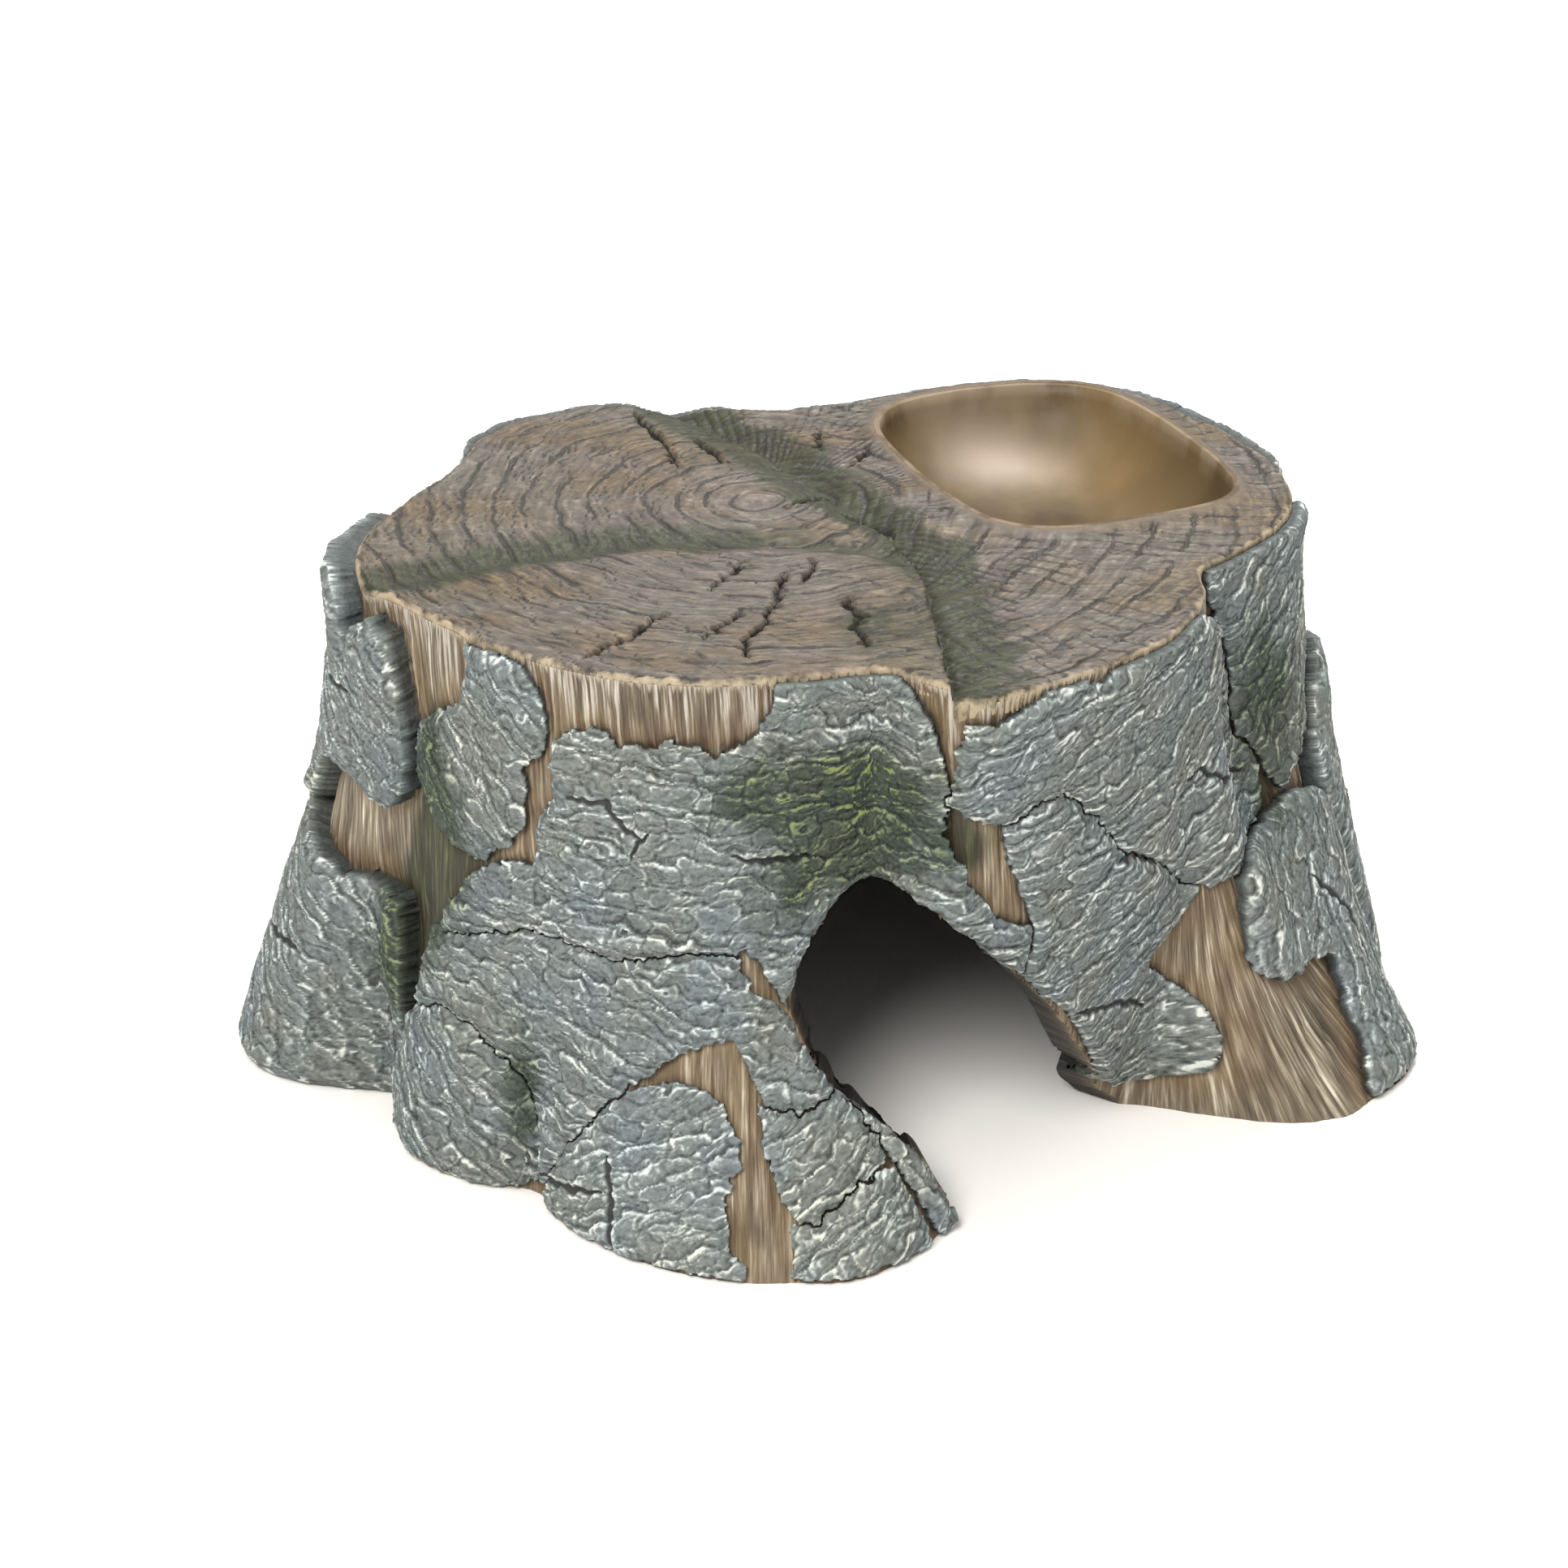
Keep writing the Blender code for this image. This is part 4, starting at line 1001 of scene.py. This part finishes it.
class Paint:
    """A node material built by short calls."""

    def __init__(self, name, roughness, specular=0.35):
        self.material = bpy.data.materials.new(name)
        self.material.use_nodes = True
        self.tree = self.material.node_tree
        self.shader = self.tree.nodes["Principled BSDF"]
        self.shader.inputs["Roughness"].default_value = roughness
        self.shader.inputs["Specular IOR Level"].default_value = specular
        self.where = self.node("ShaderNodeTexCoord").outputs["Object"]

    def node(self, kind, **settings):
        made = self.tree.nodes.new(kind)
        for key, value in settings.items():
            setattr(made, key, value)
        return made

    def link(self, source, target):
        if isinstance(source, (int, float)):
            target.default_value = source
        elif isinstance(source, tuple):
            target.default_value = (*source, 1.0)
        else:
            self.tree.links.new(source, target)

    def value(self, name):
        return self.node("ShaderNodeAttribute", attribute_name=name).outputs["Fac"]

    def noise(self, scale, stretch=(1, 1, 1), detail=3.0, roughness=0.55, where=None):
        """Noise of scale cells to a unit of its place; a stretch below 1 draws it out along that axis."""
        mapping = self.node("ShaderNodeMapping")
        mapping.inputs["Scale"].default_value = stretch
        self.link(where or self.where, mapping.inputs["Vector"])
        made = self.node("ShaderNodeTexNoise")
        made.inputs["Scale"].default_value = scale
        made.inputs["Detail"].default_value = detail
        made.inputs["Roughness"].default_value = roughness
        self.link(mapping.outputs["Vector"], made.inputs["Vector"])
        return made.outputs["Fac"]

    def math(self, operation, a, b=0.0, c=0.0):
        made = self.node("ShaderNodeMath", operation=operation)
        for socket, source in zip(made.inputs, (a, b, c)):
            self.link(source, socket)
        return made.outputs["Value"]

    def sway(self, base, source, amount, middle=0.5):
        """base, moved up and down by a source that lies about its middle."""
        return self.math("ADD", base, self.math("MULTIPLY", self.math("SUBTRACT", source, middle), amount))

    def step(self, source, low, high, start=0.0, end=1.0):
        """start below low, end above high, and a smooth change between."""
        made = self.node("ShaderNodeMapRange", interpolation_type="SMOOTHSTEP")
        for name, data in (("Value", source), ("From Min", low), ("From Max", high),
                           ("To Min", start), ("To Max", end)):
            self.link(data, made.inputs[name])
        return made.outputs["Result"]

    def ramp(self, source, stops):
        made = self.node("ShaderNodeValToRGB")
        elements = made.color_ramp.elements
        while len(elements) < len(stops):
            elements.new(0.5)
        for element, (place, colour) in zip(elements, stops):
            element.position = place
            element.color = (*colour, 1.0)
        self.link(source, made.inputs["Fac"])
        return made.outputs["Color"]

    def mix(self, share, a, b, blend="MIX"):
        made = self.node("ShaderNodeMix", data_type="RGBA", blend_type=blend)
        self.link(share, made.inputs["Factor"])
        self.link(a, made.inputs[6])
        self.link(b, made.inputs[7])
        return made.outputs[2]

    def finish(self, colour, height=None, distance=0.0002, roughness=None, strength=1.0):
        self.link(colour, self.shader.inputs["Base Color"])
        if roughness is not None:
            self.link(roughness, self.shader.inputs["Roughness"])
        if height is not None:
            bump = self.node("ShaderNodeBump")
            bump.inputs["Distance"].default_value = distance
            bump.inputs["Strength"].default_value = strength
            self.link(height, bump.inputs["Height"])
            self.link(bump.outputs["Normal"], self.shader.inputs["Normal"])
        return self.material


def bark_paint():
    p = Paint("painted_bark", 0.8, 0.3)
    fine = p.noise(1300, detail=3)
    speck = p.noise(480, detail=4)
    tone = p.noise(38, detail=3)
    tint = p.noise(60, detail=2)
    level = p.math("MULTIPLY_ADD", p.value("brush"), 0.5, 0.5)
    level = p.sway(level, fine, 0.35)
    level = p.sway(level, speck, 0.45)
    level = p.math("ADD", level, p.math("MULTIPLY", p.value("height"), 0.10))
    grey = p.ramp(level, (
        (0.12, (0.033, 0.036, 0.036)), (0.32, (0.072, 0.081, 0.080)), (0.50, (0.115, 0.131, 0.130)),
        (0.66, (0.162, 0.183, 0.181)), (0.80, (0.30, 0.33, 0.32)), (0.98, (0.56, 0.59, 0.57)),
    ))
    grey = p.mix(p.step(tone, 0.40, 0.62, 0, 0.5), grey, (1.0, 0.93, 0.78), "MULTIPLY")
    grey = p.mix(p.step(tint, 0.45, 0.65, 0, 0.5), grey, (0.80, 0.90, 1.0), "MULTIPLY")
    green = p.mix(1.0, grey, (0.31, 0.35, 0.27), "MULTIPLY")
    lit = p.step(level, 0.62, 0.85)
    flecks = p.math("MULTIPLY", lit, p.step(p.noise(120, detail=3), 0.44, 0.62, 0.1, 0.8))
    green = p.mix(flecks, green, (0.17, 0.21, 0.05))
    patch = p.sway(p.value("moss"), p.noise(170, detail=4), 1.2)
    colour = p.mix(p.step(patch, 0.05, 0.95, 0, 1.0), grey, green)
    # painted shade: near black where the plate turns into the cave
    colour = p.mix(p.value("inside"), colour, (0.012, 0.012, 0.012))
    return p.finish(colour, p.math("ADD", fine, speck), 0.00018, p.step(speck, 0.3, 0.7, 0.68, 0.9))


def wall_paint():
    p = Paint("painted_wood_wall", 0.6, 0.35)
    lie = p.node("ShaderNodeCombineXYZ")
    p.link(p.value("across"), lie.inputs["X"])
    p.link(p.value("down"), lie.inputs["Y"])
    streak = p.noise(0.80, (1, 0.055, 1), 4, where=lie.outputs["Vector"])
    thin = p.noise(2.0, (1, 0.045, 1), 3, where=lie.outputs["Vector"])
    broad = p.noise(110, (1, 1, 0.4), 3)
    level = p.math("ADD", p.math("MULTIPLY", streak, 0.95), p.math("MULTIPLY", thin, 0.65))
    level = p.math("ADD", level, p.math("MULTIPLY", p.value("grain"), 0.10))
    level = p.math("ADD", level, p.math("MULTIPLY", broad, 0.3))
    level = p.math("SUBTRACT", level, 0.47)
    colour = p.ramp(level, (
        (0.24, (0.040, 0.029, 0.018)), (0.38, (0.092, 0.072, 0.047)), (0.49, (0.155, 0.126, 0.086)),
        (0.60, (0.290, 0.250, 0.185)), (0.72, (0.55, 0.51, 0.42)),
    ))
    near = p.step(p.value("bark_gap"), 0.5, 6.5, 1, 0)
    rust = p.ramp(broad, ((0.38, (0.115, 0.060, 0.028)), (0.62, (0.19, 0.120, 0.045))))
    colour = p.mix(p.math("MULTIPLY", near, 0.38), colour, rust)
    high = p.step(p.value("rim_gap"), 1.0, 12.0, 0.7, 0.0)
    pale = p.math("MULTIPLY", high, p.step(level, 0.46, 0.64))
    colour = p.mix(pale, colour, (0.40, 0.38, 0.35))
    chipped = p.sway(p.value("rim_gap"), streak, 9.0)
    colour = p.mix(p.step(chipped, -0.9, 0.7, 0.55, 0), colour, (0.50, 0.44, 0.35))
    green = p.mix(1.0, colour, (0.15, 0.20, 0.11), "MULTIPLY")
    patch = p.sway(p.value("moss"), broad, 0.9)
    colour = p.mix(p.step(patch, 0.22, 0.65, 0, 0.95), colour, green)
    # painted shade: wood at and under the edges of the bark plates goes nearly black
    bark_contact_shade = p.sway(p.value("bark_gap"), broad, 2.2, 0.45)
    colour = p.mix(p.step(bark_contact_shade, -0.5, 0.6, 0.75, 0), colour, (0.030, 0.024, 0.018))
    # painted shade: near black where the wall turns into the cave
    colour = p.mix(p.value("inside"), colour, (0.012, 0.011, 0.010))
    return p.finish(colour, level, 0.0004, p.step(streak, 0.35, 0.65, 0.5, 0.72))


def top_paint():
    p = Paint("painted_wood_top", 0.6, 0.35)
    fibre = p.value("fibre")
    line = p.value("line")
    fine = p.noise(900, (0.6, 1, 1), 4)
    speck = p.noise(350, detail=4)
    tone = p.noise(30, detail=3)
    warm = p.noise(75, (0.4, 1, 1), 3)
    level = p.math("MULTIPLY_ADD", fibre, 0.17, 0.5)
    level = p.sway(level, fine, 0.5)
    level = p.sway(level, speck, 0.45)
    level = p.math("ADD", level, p.step(p.value("away"), 3, 26, 0.05, 0.0))
    colour = p.ramp(level, (
        (0.20, (0.030, 0.026, 0.022)), (0.40, (0.066, 0.056, 0.046)), (0.55, (0.106, 0.090, 0.073)),
        (0.70, (0.170, 0.150, 0.126)), (0.88, (0.33, 0.30, 0.255)),
    ))
    colour = p.mix(p.step(warm, 0.46, 0.68, 0, 0.65), colour, (1.0, 0.80, 0.45), "MULTIPLY")
    colour = p.mix(p.step(tone, 0.42, 0.62, 0, 0.4), colour, (0.96, 0.88, 0.98), "MULTIPLY")
    colour = p.mix(p.math("MULTIPLY", p.value("gold"), 0.4), colour, (0.85, 0.75, 0.30), "MULTIPLY")
    green = p.mix(1.0, colour, (0.24, 0.34, 0.16), "MULTIPLY")
    patch = p.sway(p.value("moss"), p.noise(130, detail=4), 0.9)
    colour = p.mix(p.step(patch, 0.05, 0.55, 0, 0.96), colour, green)
    drawn = p.sway(line, fine, 0.7)
    colour = p.mix(p.step(drawn, 0.22, 0.62, 0, 0.86), colour, (0.020, 0.018, 0.016))
    edge = p.sway(p.value("rim_gap"), p.noise(260, detail=4), 3.2)
    colour = p.mix(p.step(edge, -0.1, 1.0, 0.75, 0.0), colour, (0.42, 0.34, 0.23))
    lip = p.sway(p.value("dish_gap"), speck, 0.06)
    colour = p.mix(p.step(lip, 0.0, 0.045, 0.55, 0.0), colour, (0.15, 0.10, 0.055))
    colour = p.mix(p.step(p.value("crack"), 0.75, 1.4, 1.0, 0.0), colour, (0.008, 0.007, 0.006))
    height = p.math("SUBTRACT", level, p.math("MULTIPLY", line, 0.5))
    return p.finish(colour, height, 0.00025, p.step(fine, 0.35, 0.65, 0.5, 0.7))


def dish_paint():
    p = Paint("painted_wood_dish", 0.50, 0.28)
    cloud = p.noise(38, detail=3)
    drift = p.noise(120, (1, 1, 0.4), 4)
    fine = p.noise(900, detail=3)
    level = p.math("ADD", p.math("MULTIPLY", cloud, 0.6), p.math("MULTIPLY", drift, 0.4))
    level = p.math("ADD", level, p.math("MULTIPLY", p.value("smear"), 0.08))
    colour = p.ramp(level, (
        (0.34, (0.052, 0.031, 0.010)), (0.46, (0.082, 0.051, 0.018)), (0.56, (0.108, 0.071, 0.027)),
        (0.70, (0.150, 0.105, 0.048)),
    ))
    colour = p.mix(p.math("MULTIPLY", p.value("warm"), 0.65), colour, (0.185, 0.122, 0.050))
    # painted shade: the near side of the dish is darker
    colour = p.mix(p.math("MULTIPLY", p.value("low"), 0.30), colour, (0.030, 0.018, 0.006))
    # painted highlight: a pale spot on the back wall of the dish
    colour = p.mix(p.math("MULTIPLY", p.value("pale"), 0.85), colour, (0.37, 0.30, 0.235))
    # a broken pale line along the dish's lip: partly its paint, partly a painted highlight
    lip = p.math("MULTIPLY", p.step(p.value("share"), 0.97, 1.01), p.step(drift, 0.42, 0.60, 0.05, 0.55))
    colour = p.mix(lip, colour, (0.24, 0.185, 0.130))
    return p.finish(colour, fine, 0.00004, p.step(cloud, 0.4, 0.6, 0.46, 0.58))


def cave_shade_paint():
    p = Paint("cave_inside_painted_shade", 0.95, 0.06)
    # painted shade: the inside of the cave gets a near-black colour that stands in for the deep shade
    # there
    colour = p.ramp(p.noise(60, detail=4), (
        (0.35, (0.003, 0.003, 0.0025)), (0.65, (0.007, 0.0065, 0.006)),
    ))
    return p.finish(colour, p.noise(300, detail=4), 0.0004)


bark = bark_paint()
wood_wall(wall_paint())
top_face(top_paint())
dish(dish_paint())
cave_lining(cave_shade_paint())
for number, (plate, (grain_angle, _)) in enumerate(PLATES.items()):
    bark_plate(plate, grain_angle, 60 + number * 15, bark)


# ---------- stage ----------


def floor():
    mesh = bpy.data.meshes.new("floor")
    mesh.from_pydata([(-3, -3, 0), (3, -3, 0), (3, 3, 0), (-3, 3, 0)], [], [(0, 1, 2, 3)])
    p = Paint("pale_floor", 0.9, 0.0)
    p.shader.inputs["Base Color"].default_value = (0.92, 0.90, 0.87, 1.0)
    mesh.materials.append(p.material)
    made = bpy.data.objects.new("floor", mesh)
    bpy.context.scene.collection.objects.link(made)


def soft_light(name, place, target, size, power, colour=(1.0, 0.98, 0.95)):
    lamp = bpy.data.lights.new(name, "AREA")
    lamp.shape, lamp.size, lamp.energy, lamp.color = "DISK", size, power, colour
    made = bpy.data.objects.new(name, lamp)
    made.location = place
    made.rotation_euler = (Vector(place) - Vector(target)).to_track_quat("Z", "Y").to_euler()
    bpy.context.scene.collection.objects.link(made)


floor()
world = bpy.data.worlds.new("studio")
world.use_nodes = True
world.node_tree.nodes["Background"].inputs["Color"].default_value = (1.0, 0.985, 0.965, 1.0)
world.node_tree.nodes["Background"].inputs["Strength"].default_value = 0.85
bpy.context.scene.world = world
soft_light("key", (-0.33, -0.88, 0.95), (0, 0, 0.05), 0.6, 16)
soft_light("top", (0.15, 0.45, 0.95), (0.03, 0.02, 0.1), 0.45, 9)
bpy.context.scene.view_settings.view_transform = "Standard"

tilt = math.radians(26)
aim = Vector((-0.0085, -0.0017, 0.0575))
back = Vector((0, -math.cos(tilt), math.sin(tilt)))
camera = bpy.data.objects.new("camera", bpy.data.cameras.new("camera"))
camera.location = aim + 0.90 * back
camera.rotation_euler = back.to_track_quat("Z", "Y").to_euler()
camera.data.sensor_width = 36
camera.data.lens = 102.8
bpy.context.scene.collection.objects.link(camera)
bpy.context.scene.camera = camera
